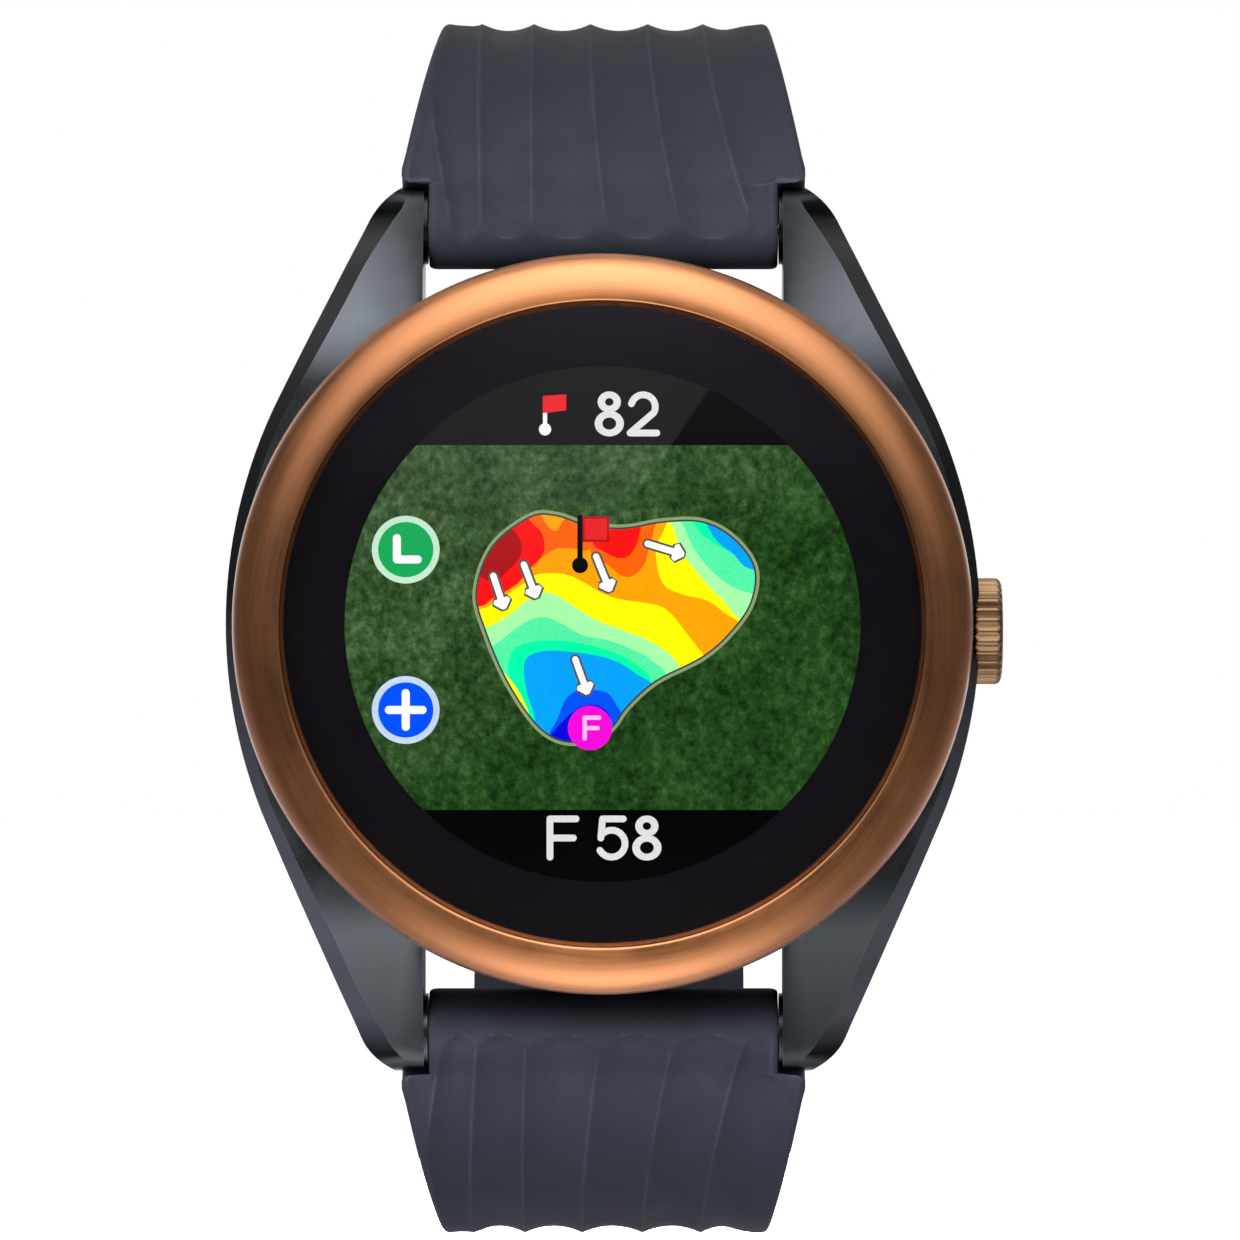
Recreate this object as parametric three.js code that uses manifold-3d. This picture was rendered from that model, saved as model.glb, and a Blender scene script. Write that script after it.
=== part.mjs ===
// Golf GPS watch: round metal case with a domed bezel ring, colour display, side crown button,
// spring-bar rubber strap in two halves, keepers and a tongue buckle. Millimetres.
//
// Frame: the origin is the centre of the case back's wrist face. +Z points to 12 o'clock, +X to
// 3 o'clock and -Y out of the display. A height is measured from the wrist face towards the
// display, so y = -height.
import * as THREE from "three";
import { mergeVertices } from "three/addons/utils/BufferGeometryUtils.js";
import Module from "manifold-3d";

const wasm = await Module();
wasm.setup();

// ---- Driving dimensions ----------------------------------------------------------------------

const ROUND = 60; // segments of the large turned pieces
const MEDIUM = 40; // segments of hidden discs
const SMALL = 12; // segments of pins, holes and screws

const CASE = {
  halfWidth: 23.6,
  sideRadius: 32,
  bottom: 0.8,
  top: 9.2,
  edgeBevel: 0.75,
  wallBetweenLugs: 21.6,
  lowCavityRadius: 16.4,
  cavityStep: 3.0,
  cavityRadius: 18.8,
  recessFloor: 8.1,
  recessRadius: 20.3,
  gapFrom: 14, // the gaps between the lugs are cut from here outwards
};
const LUG = {
  gap: 22.2, // between the inner faces of a pair of lugs
  cornerX: { upper: 14.3, lower: 14.9 },
  cornerBack: 1.2, // the outer corner lies this far short of the tip
  tipX: { upper: 12.6, lower: 13.1 },
  slopeStart: 17.5,
  tipRadius: 2.6,
  barHeight: 3.4,
};
const BAR_Z = { upper: 25.0, lower: 25.6 }; // spring-bar axes, distance from the case centre

const RING = {
  outer: 23.08,
  inner: 20.06,
  crest: 20.3,
  bottom: 9.35,
  widest: 10.3,
  top: 12.6,
  lip: 12.4, // where the rounding on the inside of the crest ends
  lipChamfer: 0.15,
  ledge: 19.0,
  ledgeTop: 10.3,
  spigotOuter: 20.2,
  spigotBottom: 8.25,
  footInset: 0.6,
  footBevel: 0.15,
  footRise: 0.4,
};
const GLASS = { radius: 19.92, bottom: 10.72, top: 11.95, chamfer: 0.12 };
const DISPLAY_RADIUS = 16.05;

// The layers under the glass, each between two heights.
const GASKET = { inner: 19.1, outer: 19.85, bottom: 10.36, top: 10.66 };
const MASK = { outer: 18.9, bottom: 10.56, top: 10.66 };
const TOUCH = { radius: 18.7, bottom: 10.36, top: 10.5 };
const PANEL = { radius: 17.4, bottom: 9.5, top: 10.3 };
const BACKLIGHT = { radius: 17.4, bottom: 8.75, top: 9.45 };
const FLEX = {
  thickness: 0.12,
  halfWidth: 3,
  // [z, height] along its outer side, from the display to the board
  run: [
    [-17.55, 9.95],
    [-18.1, 9.7],
    [-18.1, 7.7],
    [-17.6, 7.3],
    [-15.8, 7.2],
  ],
  // the way that its thickness lies at each of those places
  inward: [
    [0, -1],
    [1, 0],
    [1, 0.5],
    [0.5, 1],
    [0, 1],
  ],
};

// The chassis is a cup with its open side to the wrist.
const FRAME = {
  radius: 18.6,
  inner: 17.8,
  top: 8.2,
  ceiling: 7.6,
  bottom: 3.05,
  flexNotch: { halfWidth: 3.6, from: -19.5, to: -16.6, bottom: 5.5, top: 9 },
  stemHole: { radius: 1.6, from: 16.5, to: 19.5 },
};
const BOARD = {
  radius: 17.2,
  bottom: 6.3,
  top: 7.1,
  crownNotch: { halfWidth: 2.2, from: 15.4, to: 19 },
  flexNotch: { halfWidth: 3.4, from: -18, to: -16.9 },
};

// Plain blocks inside the case: [x0, x1, bottom, top, z0, z1].
const PROCESSOR = [2, 9, 5.35, 6.25, 1, 8];
const MEMORY = [-7, -2, 5.45, 6.25, 2, 7];
const RECEIVER = [-7, -2, 5.55, 6.25, -7, -2];
const ANTENNA = [-3.5, 3.5, 3.6, 6.2, -16.3, -10.4];
const SHIELD = { outside: [-9, 0, 5.15, 6.25, -8, -1], wall: 0.2 };
const BATTERY = { x0: -10, x1: 11.9, halfLength: 9.8, corner: 1.6, bottom: 1.95, top: 5.0 };
const BUZZER = { radius: 3.2, bottom: 4.6, top: 6.2, z: 13.6 };
const MOTOR = {
  x: -13.0,
  height: 4.3,
  radius: 1.8,
  canFrom: -6.5,
  canTo: 1.0,
  boreRadius: 0.46,
  boreFrom: -1.2,
  shaftRadius: 0.4,
  shaftFrom: -1.0,
  shaftTo: 4.8,
  hubRadius: 0.75,
  weightRadius: 1.6,
  weightFrom: 2.0,
  weightTo: 4.4,
};

const BACK = {
  radius: 20.4,
  bevel: 0.25,
  top: 0.75,
  grooveInner: 16.9, // the gasket's groove
  grooveOuter: 17.7,
  grooveFloor: 0.38,
  ribInner: 15.3,
  ribOuter: 16.3,
  ribTop: 1.6,
  window: { halfWidth: 5, from: -12, to: -9 }, // for the charging contacts
};
const BACK_GASKET = { inner: 16.95, outer: 17.65, bottom: 0.41, top: 0.77 };
const SCREW = {
  circle: 18.75,
  angles: [45, 135, 225, 315],
  headRadius: 0.98,
  headFrom: 0.03,
  headTo: 0.4,
  shankRadius: 0.5,
  shankFrom: 0.2,
  shankTo: 2.6,
  slotHalfLength: 0.7,
  slotHalfWidth: 0.13,
  slotFloor: 0.2,
  wellRadius: 1.05,
  wellFloor: 0.45,
  plateHole: 0.6,
  threadRadius: 0.55,
  threadEnd: 2.7,
};
const CONTACT = {
  pitch: 2.3,
  z: -10.5,
  radius: 0.75,
  clearance: 0.04,
  bottom: 0.02,
  top: 1.8,
  blockHalfWidth: 4.94,
  blockHalfLength: 1.44,
  blockBottom: 0.04,
  blockTop: 1.7,
};

const CROWN = {
  z: -0.45,
  height: 5.2,
  radius: 3.35,
  ridges: 30,
  ridgeDepth: 0.16,
  inside: 23.2,
  outside: 25.05,
  pocketRadius: 3.6,
  pocketFloor: 22.55,
  bevel: 0.3,
  socketFloor: 24.4,
  socketClearance: 0.04,
  stemRadius: 0.9,
  stemInside: 15.95,
  stemOutside: 24.35,
  clipGroove: { radius: 0.62, from: 17.33, to: 17.73 },
  tubeRadius: 1.7,
  tubeBore: 0.97,
  tubeInside: 18.75,
  tubeOutside: 22.5,
  tubeClearance: 0.06,
  sealGroove: { radius: 1.46, from: 20.9, to: 21.5 },
  seal: { radius: 1.2, wire: 0.22, x: 21.2 },
  clip: { radius: 1.75, bore: 0.66, from: 17.4, to: 17.66, gapHalf: 0.4 },
};
const SWITCH = {
  inside: 12.3,
  outside: 15.2,
  bottom: 4.2,
  top: 6.25,
  halfWidth: 1.9,
  boreRadius: 0.66,
  boreFloor: 13.2,
  plungerRadius: 0.6,
  plungerFrom: 14.0,
  plungerTo: 15.9,
};

const BAR = {
  tubeRadius: 0.9,
  tubeBore: 0.56,
  tubeHalf: 9.2,
  pinRadius: 0.48,
  pinInside: 6.0,
  pinTip: 12.1,
  flangeRadius: 0.8,
  flangeFrom: 10.5,
  flangeTo: 10.8,
  lugHoleRadius: 0.6,
  lugHoleDepth: 12.4,
};
// The coil is drawn at the length that it has with both pins pressed in.
const SPRING = { coilRadius: 0.36, halfLength: 4.6, turns: 7, wire: 0.09, stepsPerTurn: 8 };

const STRAP = {
  lugWidth: 22.0,
  shoulderWidth: 25.5,
  loopWidth: 21.3,
  buckleEndWidth: 20.0,
  tailWidth: 18.6,
  rollRadius: 2.6,
  rootThickness: 4.4,
  thickness: 2.6,
  startAngle: 25, // degrees below the display plane at the spring bar
  loopRadius: 22.7,
  notchRadius: 2.95,
  boreRadius: 1.0,
  corner: 0.12, // chamfer of the edges, as a share of the thickness
  taper: 14, // length over which a half narrows below the loop
  thinFrom: 2,
  thinTo: 20,
  tongueSlot: { width: 3.2, length: 8.0, shift: 0.2 },
  tipLength: 9, // the rounded end of the tail
  tipShare: 0.72,
};
const HOLES = { count: 8, pitch: 6.5, fromTip: 16, radius: 1.15 };
const BUCKLE = {
  barRadius: 0.75,
  halfWidth: 13.0,
  innerHalf: 10.6,
  length: 15.0,
  barFrom: 12.6,
  back: -1.7,
  halfThick: 1.1,
  corner: 1.6,
  eyeRadius: 0.82,
  rollRadius: 1.7,
  rollBore: 0.95,
  barHalf: 12.9,
};
const TONGUE = {
  halfWidth: 1.1,
  eyeRadius: 1.62,
  eyeHalf: 1.25,
  eyeBore: 0.95,
  // [z, height] of its side
  side: [
    [0.6, 0.1],
    [11.2, 1.25],
    [14.6, 1.25],
    [14.6, 2.0],
    [13.6, 2.6],
    [11.0, 2.6],
    [0, 1.62],
  ],
};
const KEEPER = {
  innerHalf: 10.3,
  wall: 1.15,
  innerUnder: 1.36,
  innerOver: 4.1,
  length: 4.8,
  corner: 1.4,
  innerCorner: 0.3,
  fixedBack: 9.2, // keeper centres, back from the buckle bar along the strap
  freeBack: 19.0,
};

const PAST = 1; // how far a cutting body runs on past the face that it cuts
const FAR_OUT = 30; // beyond every edge of the case

const radians = THREE.MathUtils.degToRad;

// ---- Solids ----------------------------------------------------------------------------------

// A closed three.js geometry as a solid. A lathe profile may run either way round, so the
// triangles are turned over when the volume comes out negative.
function solid(geometry) {
  const bare = geometry.clone();
  bare.deleteAttribute("normal");
  bare.deleteAttribute("uv");
  const merged = mergeVertices(bare, 1e-4);
  const corners = merged.index.array;
  const triangles = [];
  for (let i = 0; i < corners.length; i += 3) {
    const [a, b, c] = corners.slice(i, i + 3);
    if (a !== b && b !== c && c !== a) triangles.push(a, b, c);
  }
  const build = (order) =>
    new wasm.Manifold(
      new wasm.Mesh({
        numProp: 3,
        vertProperties: merged.attributes.position.array,
        triVerts: new Uint32Array(order),
      }),
    );
  const made = build(triangles);
  return made.volume() > 0 ? made : build(triangles.reverse());
}

const joined = (...solids) => solids.reduce((all, next) => all.add(next));
const without = (base, ...tools) =>
  tools.reduce((left, tool) => left.subtract(tool), base);

// A solid back as a three.js geometry.
function geometryOf(made) {
  const mesh = made.getMesh();
  const stride = mesh.numProp;
  const positions = new Float32Array(mesh.numVert * 3);
  for (let i = 0; i < mesh.numVert; i++)
    positions.set(
      mesh.vertProperties.subarray(i * stride, i * stride + 3),
      i * 3,
    );
  const geometry = new THREE.BufferGeometry();
  geometry.setAttribute("position", new THREE.BufferAttribute(positions, 3));
  geometry.setIndex(new THREE.BufferAttribute(mesh.triVerts, 1));
  geometry.computeVertexNormals();
  return geometry;
}

// Turned about the watch's axis; each point is [radius, height].
function turned(points, segments = ROUND) {
  const profile = points.map(([r, h]) => new THREE.Vector2(r, -h));
  if (points[0][0] > 0) profile.push(profile[0].clone());
  return solid(new THREE.LatheGeometry(profile, segments));
}

// A disc or a ring on the watch's axis between two heights.
function disc(radius, from, to, segments = MEDIUM) {
  return turned(
    [
      [0, from],
      [radius, from],
      [radius, to],
      [0, to],
    ],
    segments,
  );
}
function ring(inner, outer, from, to, segments = MEDIUM) {
  return turned(
    [
      [inner, from],
      [outer, from],
      [outer, to],
      [inner, to],
    ],
    segments,
  );
}

// A plan outline in x and z, thickened between two heights.
function slab(shape, from, to, options = {}) {
  const geometry = new THREE.ExtrudeGeometry(shape, {
    depth: to - from,
    bevelEnabled: false,
    curveSegments: 12,
    ...options,
  });
  geometry.rotateX(Math.PI / 2);
  geometry.translate(0, -from, 0);
  return solid(geometry);
}

// A side outline in z and height, carried across from one x to another.
function across(shape, from, to, curveSegments = 10) {
  const geometry = new THREE.ExtrudeGeometry(shape, {
    depth: to - from,
    bevelEnabled: false,
    curveSegments,
  });
  geometry.applyMatrix4(
    new THREE.Matrix4().makeBasis(
      new THREE.Vector3(0, 0, 1),
      new THREE.Vector3(0, -1, 0),
      new THREE.Vector3(1, 0, 0),
    ),
  );
  geometry.translate(from, 0, 0);
  return solid(geometry);
}

function box(x0, x1, h0, h1, z0, z1) {
  const geometry = new THREE.BoxGeometry(x1 - x0, h1 - h0, z1 - z0);
  geometry.translate((x0 + x1) / 2, -(h0 + h1) / 2, (z0 + z1) / 2);
  return solid(geometry);
}

// A rod parallel to x at one height and z.
function rodX(radius, x0, x1, height, z, segments = SMALL) {
  const geometry = new THREE.CylinderGeometry(
    radius,
    radius,
    x1 - x0,
    segments,
  );
  geometry.rotateZ(Math.PI / 2);
  geometry.translate((x0 + x1) / 2, -height, z);
  return solid(geometry);
}

// A rod parallel to z at one x and height.
function rodZ(radius, z0, z1, x, height, segments = SMALL) {
  const geometry = new THREE.CylinderGeometry(
    radius,
    radius,
    z1 - z0,
    segments,
  );
  geometry.rotateX(Math.PI / 2);
  geometry.translate(x, -height, (z0 + z1) / 2);
  return solid(geometry);
}

// A rod parallel to the watch's axis at one x and z.
function rodY(radius, h0, h1, x, z, segments = SMALL) {
  const geometry = new THREE.CylinderGeometry(
    radius,
    radius,
    h1 - h0,
    segments,
  );
  geometry.translate(x, -(h0 + h1) / 2, z);
  return solid(geometry);
}

// A hole is drawn with flats outside its radius, so that a shaft of that radius turns in it.
const holeRadius = (radius, segments = SMALL) =>
  radius / Math.cos(Math.PI / segments);

// A polygon that keeps a curve's own corners.
function polygon(points) {
  return new THREE.Shape(points.map(([a, b]) => new THREE.Vector2(a, b)));
}

function arc(cx, cy, rx, ry, from, to, steps) {
  return Array.from({ length: steps + 1 }, (_, i) => {
    const angle = radians(from + ((to - from) * i) / steps);
    return [cx + rx * Math.cos(angle), cy + ry * Math.sin(angle)];
  });
}

function roundedRectangle(x0, x1, y0, y1, radius) {
  const shape = new THREE.Shape();
  shape.moveTo(x0 + radius, y0);
  shape.lineTo(x1 - radius, y0);
  shape.absarc(x1 - radius, y0 + radius, radius, -Math.PI / 2, 0);
  shape.lineTo(x1, y1 - radius);
  shape.absarc(x1 - radius, y1 - radius, radius, 0, Math.PI / 2);
  shape.lineTo(x0 + radius, y1);
  shape.absarc(x0 + radius, y1 - radius, radius, Math.PI / 2, Math.PI);
  shape.lineTo(x0, y0 + radius);
  shape.absarc(x0 + radius, y0 + radius, radius, Math.PI, 1.5 * Math.PI);
  return shape;
}

// ---- Materials and placing -------------------------------------------------------------------

const FINISH = {
  case: { color: 0x4a4d52, metalness: 0.8, roughness: 0.42 },
  copper: { color: 0xb5754a, metalness: 0.95, roughness: 0.3 },
  glass: { color: 0x0c0a10, metalness: 0, roughness: 0.05 },
  screen: { color: 0x2d5a2c, metalness: 0, roughness: 0.3 },
  film: { color: 0x9fa8ad, metalness: 0, roughness: 0.2 },
  plastic: { color: 0x1d1e20, metalness: 0, roughness: 0.6 },
  board: { color: 0x0f4a2c, metalness: 0.1, roughness: 0.5 },
  chip: { color: 0x111214, metalness: 0, roughness: 0.45 },
  steel: { color: 0xb9bcc0, metalness: 1, roughness: 0.25 },
  gold: { color: 0xd8b45a, metalness: 1, roughness: 0.25 },
  ceramic: { color: 0xd9cfb8, metalness: 0, roughness: 0.7 },
  flex: { color: 0xb4691c, metalness: 0.1, roughness: 0.4 },
  foil: { color: 0x8f959c, metalness: 0.7, roughness: 0.35 },
  seal: { color: 0x0f0f10, metalness: 0, roughness: 0.8 },
  strap: { color: 0x3e424a, metalness: 0, roughness: 0.62 },
};

const watch = new THREE.Group();
const finishes = Object.fromEntries(
  Object.entries(FINISH).map(([name, values]) => [
    name,
    new THREE.MeshStandardMaterial(values),
  ]),
);

function place(name, finish, made, parent = watch) {
  const mesh = new THREE.Mesh(geometryOf(made), finishes[finish].clone());
  mesh.name = name;
  parent.add(mesh);
}

// ---- Case ------------------------------------------------------------------------------------

// One quarter of the plan outline, from the 3 o'clock side to the lug's inner face: an arc, its
// tangent to the lug's outer corner, then the chamfered tip.
function quarterOutline(end) {
  const tipZ = BAR_Z[end] + LUG.tipRadius;
  const cornerX = LUG.cornerX[end];
  const centre = CASE.halfWidth - CASE.sideRadius;
  const cornerZ = tipZ - LUG.cornerBack;
  const reach = Math.hypot(cornerX - centre, cornerZ);
  const toCorner = Math.atan2(cornerZ, cornerX - centre);
  const touch = toCorner - Math.acos(CASE.sideRadius / reach);
  const side = arc(
    centre,
    0,
    CASE.sideRadius,
    CASE.sideRadius,
    0,
    THREE.MathUtils.radToDeg(touch),
    7,
  );
  return [
    ...side,
    [cornerX, cornerZ],
    [LUG.tipX[end], tipZ],
    [LUG.gap / 2, tipZ],
  ];
}

function caseOutline() {
  const upper = quarterOutline("upper");
  const lower = quarterOutline("lower");
  const right = [
    ...lower.map(([x, z]) => [x, -z]).reverse(),
    ...upper.slice(1),
  ];
  return polygon([...right, ...right.map(([x, z]) => [-x, z]).reverse()]);
}

// The case seen from the side: flat under the ring, sloping down to the round lug tips.
function caseSide() {
  const tip = (barZ) => {
    const dz = LUG.slopeStart - barZ;
    const dh = CASE.top - LUG.barHeight;
    const touch =
      Math.atan2(dh, dz) - Math.acos(LUG.tipRadius / Math.hypot(dz, dh));
    return arc(
      barZ,
      LUG.barHeight,
      LUG.tipRadius,
      LUG.tipRadius,
      -90,
      THREE.MathUtils.radToDeg(touch),
      9,
    );
  };
  const lower = tip(BAR_Z.lower).map(([z, h]) => [-z, h]);
  return polygon([
    ...tip(BAR_Z.upper),
    [LUG.slopeStart, CASE.top],
    [-LUG.slopeStart, CASE.top],
    ...lower.reverse(),
  ]);
}

const screwPlace = (angle) => [
  SCREW.circle * Math.cos(radians(angle)),
  SCREW.circle * Math.sin(radians(angle)),
];

function midCase() {
  const bevel = CASE.edgeBevel;
  const outside = slab(caseOutline(), CASE.bottom + bevel, CASE.top - bevel, {
    bevelEnabled: true,
    bevelThickness: bevel,
    bevelSize: bevel,
    bevelOffset: -bevel,
    bevelSegments: 1,
  });
  const body = outside.intersect(across(caseSide(), -FAR_OUT, FAR_OUT));
  const cavity = turned([
    [0, CASE.bottom - PAST],
    [CASE.lowCavityRadius, CASE.bottom - PAST],
    [CASE.lowCavityRadius, CASE.cavityStep],
    [CASE.cavityRadius, CASE.cavityStep],
    [CASE.cavityRadius, CASE.recessFloor],
    [CASE.recessRadius, CASE.recessFloor],
    [CASE.recessRadius, CASE.top + PAST],
    [0, CASE.top + PAST],
  ]);
  const core = disc(CASE.wallBetweenLugs, -2 * PAST, CASE.top + 2 * PAST, ROUND);
  const half = LUG.gap / 2;
  const gaps = [
    [CASE.gapFrom, FAR_OUT],
    [-FAR_OUT, -CASE.gapFrom],
  ].map(([z0, z1]) => box(-half, half, -PAST, CASE.top + PAST, z0, z1).subtract(core));
  const barHoles = [BAR_Z.upper, -BAR_Z.lower].flatMap((z) =>
    [1, -1].map((side) => {
      const ends = [half - PAST, BAR.lugHoleDepth].map((x) => x * side);
      return rodX(
        holeRadius(BAR.lugHoleRadius),
        Math.min(...ends),
        Math.max(...ends),
        LUG.barHeight,
        z,
      );
    }),
  );
  const screwHoles = SCREW.angles.map((angle) =>
    rodY(
      holeRadius(SCREW.threadRadius),
      CASE.bottom - PAST,
      SCREW.threadEnd,
      ...screwPlace(angle),
    ),
  );
  const crownPocket = rodX(
    CROWN.pocketRadius,
    CROWN.pocketFloor,
    FAR_OUT,
    CROWN.height,
    CROWN.z,
    32,
  );
  const tubeHole = rodX(
    CROWN.tubeRadius + CROWN.tubeClearance,
    CASE.lowCavityRadius,
    CROWN.pocketFloor + PAST,
    CROWN.height,
    CROWN.z,
    20,
  );
  return without(
    body,
    cavity,
    ...gaps,
    ...barHoles,
    ...screwHoles,
    crownPocket,
    tubeHole,
  );
}

function bezelRing() {
  const crown = arc(
    RING.crest,
    RING.widest,
    RING.outer - RING.crest,
    RING.top - RING.widest,
    0,
    90,
    7,
  );
  const inside = arc(
    RING.crest,
    RING.lip,
    RING.crest - RING.inner - RING.lipChamfer,
    RING.top - RING.lip,
    90,
    180,
    3,
  ).slice(1);
  return turned([
    [RING.ledge, RING.spigotBottom],
    [RING.spigotOuter, RING.spigotBottom],
    [RING.spigotOuter, RING.bottom],
    [RING.outer - RING.footInset, RING.bottom],
    [RING.outer - RING.footBevel, RING.bottom + RING.footRise],
    ...crown,
    ...inside,
    [RING.inner, RING.lip - RING.lipChamfer],
    [RING.inner, RING.ledgeTop],
    [RING.ledge, RING.ledgeTop],
  ]);
}

function coverGlass() {
  const { radius, bottom, top, chamfer } = GLASS;
  return turned([
    [0, bottom],
    [radius, bottom],
    [radius, top - chamfer],
    [radius - chamfer, top],
    [0, top],
  ]);
}

// A blued ribbon from the display's lower edge round to the board.
function displayFlex() {
  const { thickness, halfWidth, run, inward } = FLEX;
  const inner = run.map(([z, height], i) => [
    z + thickness * inward[i][0],
    height + thickness * inward[i][1],
  ]);
  return across(polygon([...run, ...inner.reverse()]), -halfWidth, halfWidth);
}

function innerFrame() {
  const { radius, inner, top, ceiling, bottom, flexNotch, stemHole } = FRAME;
  const cup = turned(
    [
      [0, top],
      [radius, top],
      [radius, bottom],
      [inner, bottom],
      [inner, ceiling],
      [0, ceiling],
    ],
    MEDIUM + 8,
  );
  const notch = box(
    -flexNotch.halfWidth,
    flexNotch.halfWidth,
    flexNotch.bottom,
    flexNotch.top,
    flexNotch.from,
    flexNotch.to,
  );
  const hole = rodX(stemHole.radius, stemHole.from, stemHole.to, CROWN.height, CROWN.z);
  return without(cup, notch, hole);
}

function mainBoard() {
  const { radius, bottom, top, crownNotch, flexNotch } = BOARD;
  const forCrown = box(
    crownNotch.from,
    crownNotch.to,
    bottom - PAST,
    top + PAST,
    CROWN.z - crownNotch.halfWidth,
    CROWN.z + crownNotch.halfWidth,
  );
  const forFlex = box(
    -flexNotch.halfWidth,
    flexNotch.halfWidth,
    bottom - PAST,
    top + PAST,
    flexNotch.from,
    flexNotch.to,
  );
  return without(disc(radius, bottom, top), forCrown, forFlex);
}

function shieldCan() {
  const { outside, wall } = SHIELD;
  const [x0, x1, bottom, top, z0, z1] = outside;
  const inside = box(x0 + wall, x1 - wall, bottom + wall, top + PAST, z0 + wall, z1 - wall);
  return box(...outside).subtract(inside);
}

function battery() {
  const { x0, x1, halfLength, corner, bottom, top } = BATTERY;
  const plan = roundedRectangle(x0, x1, -halfLength, halfLength, corner);
  return slab(plan, bottom, top, { curveSegments: 4 });
}

function motorCan() {
  const { x, height, radius, canFrom, canTo, boreRadius, boreFrom } = MOTOR;
  const can = rodZ(radius, canFrom, canTo, x, height, 20);
  return can.subtract(rodZ(holeRadius(boreRadius), boreFrom, canTo + PAST, x, height));
}

// Shaft with a half-round weight, so that it shakes the case as it turns.
function motorRotor() {
  const { x, height, weightRadius, weightFrom, weightTo } = MOTOR;
  const reach = weightRadius + PAST;
  const underside = box(
    x - reach,
    x + reach,
    height - reach,
    height,
    weightFrom - PAST,
    weightTo + PAST,
  );
  const weight = rodZ(weightRadius, weightFrom, weightTo, x, height, 20).subtract(underside);
  const hub = rodZ(MOTOR.hubRadius, weightFrom, weightTo, x, height);
  const shaft = rodZ(MOTOR.shaftRadius, MOTOR.shaftFrom, MOTOR.shaftTo, x, height);
  return joined(shaft, hub, weight);
}

function caseBack() {
  const { radius, bevel, top, window } = BACK;
  const plate = turned(
    [
      [0, 0],
      [radius - bevel, 0],
      [radius, bevel],
      [radius, top],
      [BACK.grooveOuter, top],
      [BACK.grooveOuter, BACK.grooveFloor],
      [BACK.grooveInner, BACK.grooveFloor],
      [BACK.grooveInner, top],
      [BACK.ribOuter, top],
      [BACK.ribOuter, BACK.ribTop],
      [BACK.ribInner, BACK.ribTop],
      [BACK.ribInner, top],
      [0, top],
    ],
    MEDIUM,
  );
  const opening = box(
    -window.halfWidth,
    window.halfWidth,
    -PAST,
    BACK.ribTop + PAST,
    window.from,
    window.to,
  );
  const screws = SCREW.angles.flatMap((angle) => [
    rodY(holeRadius(SCREW.wellRadius), -PAST, SCREW.wellFloor, ...screwPlace(angle)),
    rodY(holeRadius(SCREW.plateHole), -PAST, top + PAST, ...screwPlace(angle)),
  ]);
  return without(plate, opening, ...screws);
}

function caseBackScrew(angle) {
  const [x, z] = screwPlace(angle);
  const head = rodY(SCREW.headRadius, SCREW.headFrom, SCREW.headTo, x, z);
  const shank = rodY(SCREW.shankRadius, SCREW.shankFrom, SCREW.shankTo, x, z);
  const slot = box(
    x - SCREW.slotHalfLength,
    x + SCREW.slotHalfLength,
    -PAST,
    SCREW.slotFloor,
    z - SCREW.slotHalfWidth,
    z + SCREW.slotHalfWidth,
  );
  return without(joined(head, shank), slot);
}

const contactX = [-1.5, -0.5, 0.5, 1.5].map((step) => step * CONTACT.pitch);

function contactBlock() {
  const { z, radius, clearance, blockHalfWidth, blockHalfLength } = CONTACT;
  const block = box(
    -blockHalfWidth,
    blockHalfWidth,
    CONTACT.blockBottom,
    CONTACT.blockTop,
    z - blockHalfLength,
    z + blockHalfLength,
  );
  const holes = contactX.map((x) =>
    rodY(holeRadius(radius + clearance), -PAST, CONTACT.blockTop + PAST, x, z),
  );
  return without(block, ...holes);
}

// ---- Crown button ----------------------------------------------------------------------------

function crownKnob() {
  const star = Array.from({ length: CROWN.ridges * 2 }, (_, i) => {
    const angle = (Math.PI * i) / CROWN.ridges;
    const r = CROWN.radius - (i % 2) * CROWN.ridgeDepth;
    return [r * Math.cos(angle), r * Math.sin(angle)];
  });
  const { bevel } = CROWN;
  const geometry = new THREE.ExtrudeGeometry(polygon(star), {
    depth: CROWN.outside - CROWN.inside - bevel,
    bevelEnabled: true,
    bevelThickness: bevel / 2,
    bevelSize: bevel / 2,
    bevelOffset: -bevel / 2,
    bevelSegments: 1,
  });
  geometry.translate(0, 0, bevel / 2);
  geometry.rotateY(Math.PI / 2);
  geometry.translate(CROWN.inside, -CROWN.height, CROWN.z);
  const socket = rodX(
    holeRadius(CROWN.stemRadius + CROWN.socketClearance),
    CROWN.inside - PAST,
    CROWN.socketFloor,
    CROWN.height,
    CROWN.z,
  );
  return solid(geometry).subtract(socket);
}

function crownStem() {
  const { height, z, stemRadius, stemInside, stemOutside } = CROWN;
  const { radius, from, to } = CROWN.clipGroove;
  const stem = rodX(stemRadius, stemInside, stemOutside, height, z);
  const groove = rodX(stemRadius + PAST, from, to, height, z).subtract(
    rodX(radius, from - PAST, to + PAST, height, z),
  );
  return stem.subtract(groove);
}

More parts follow.
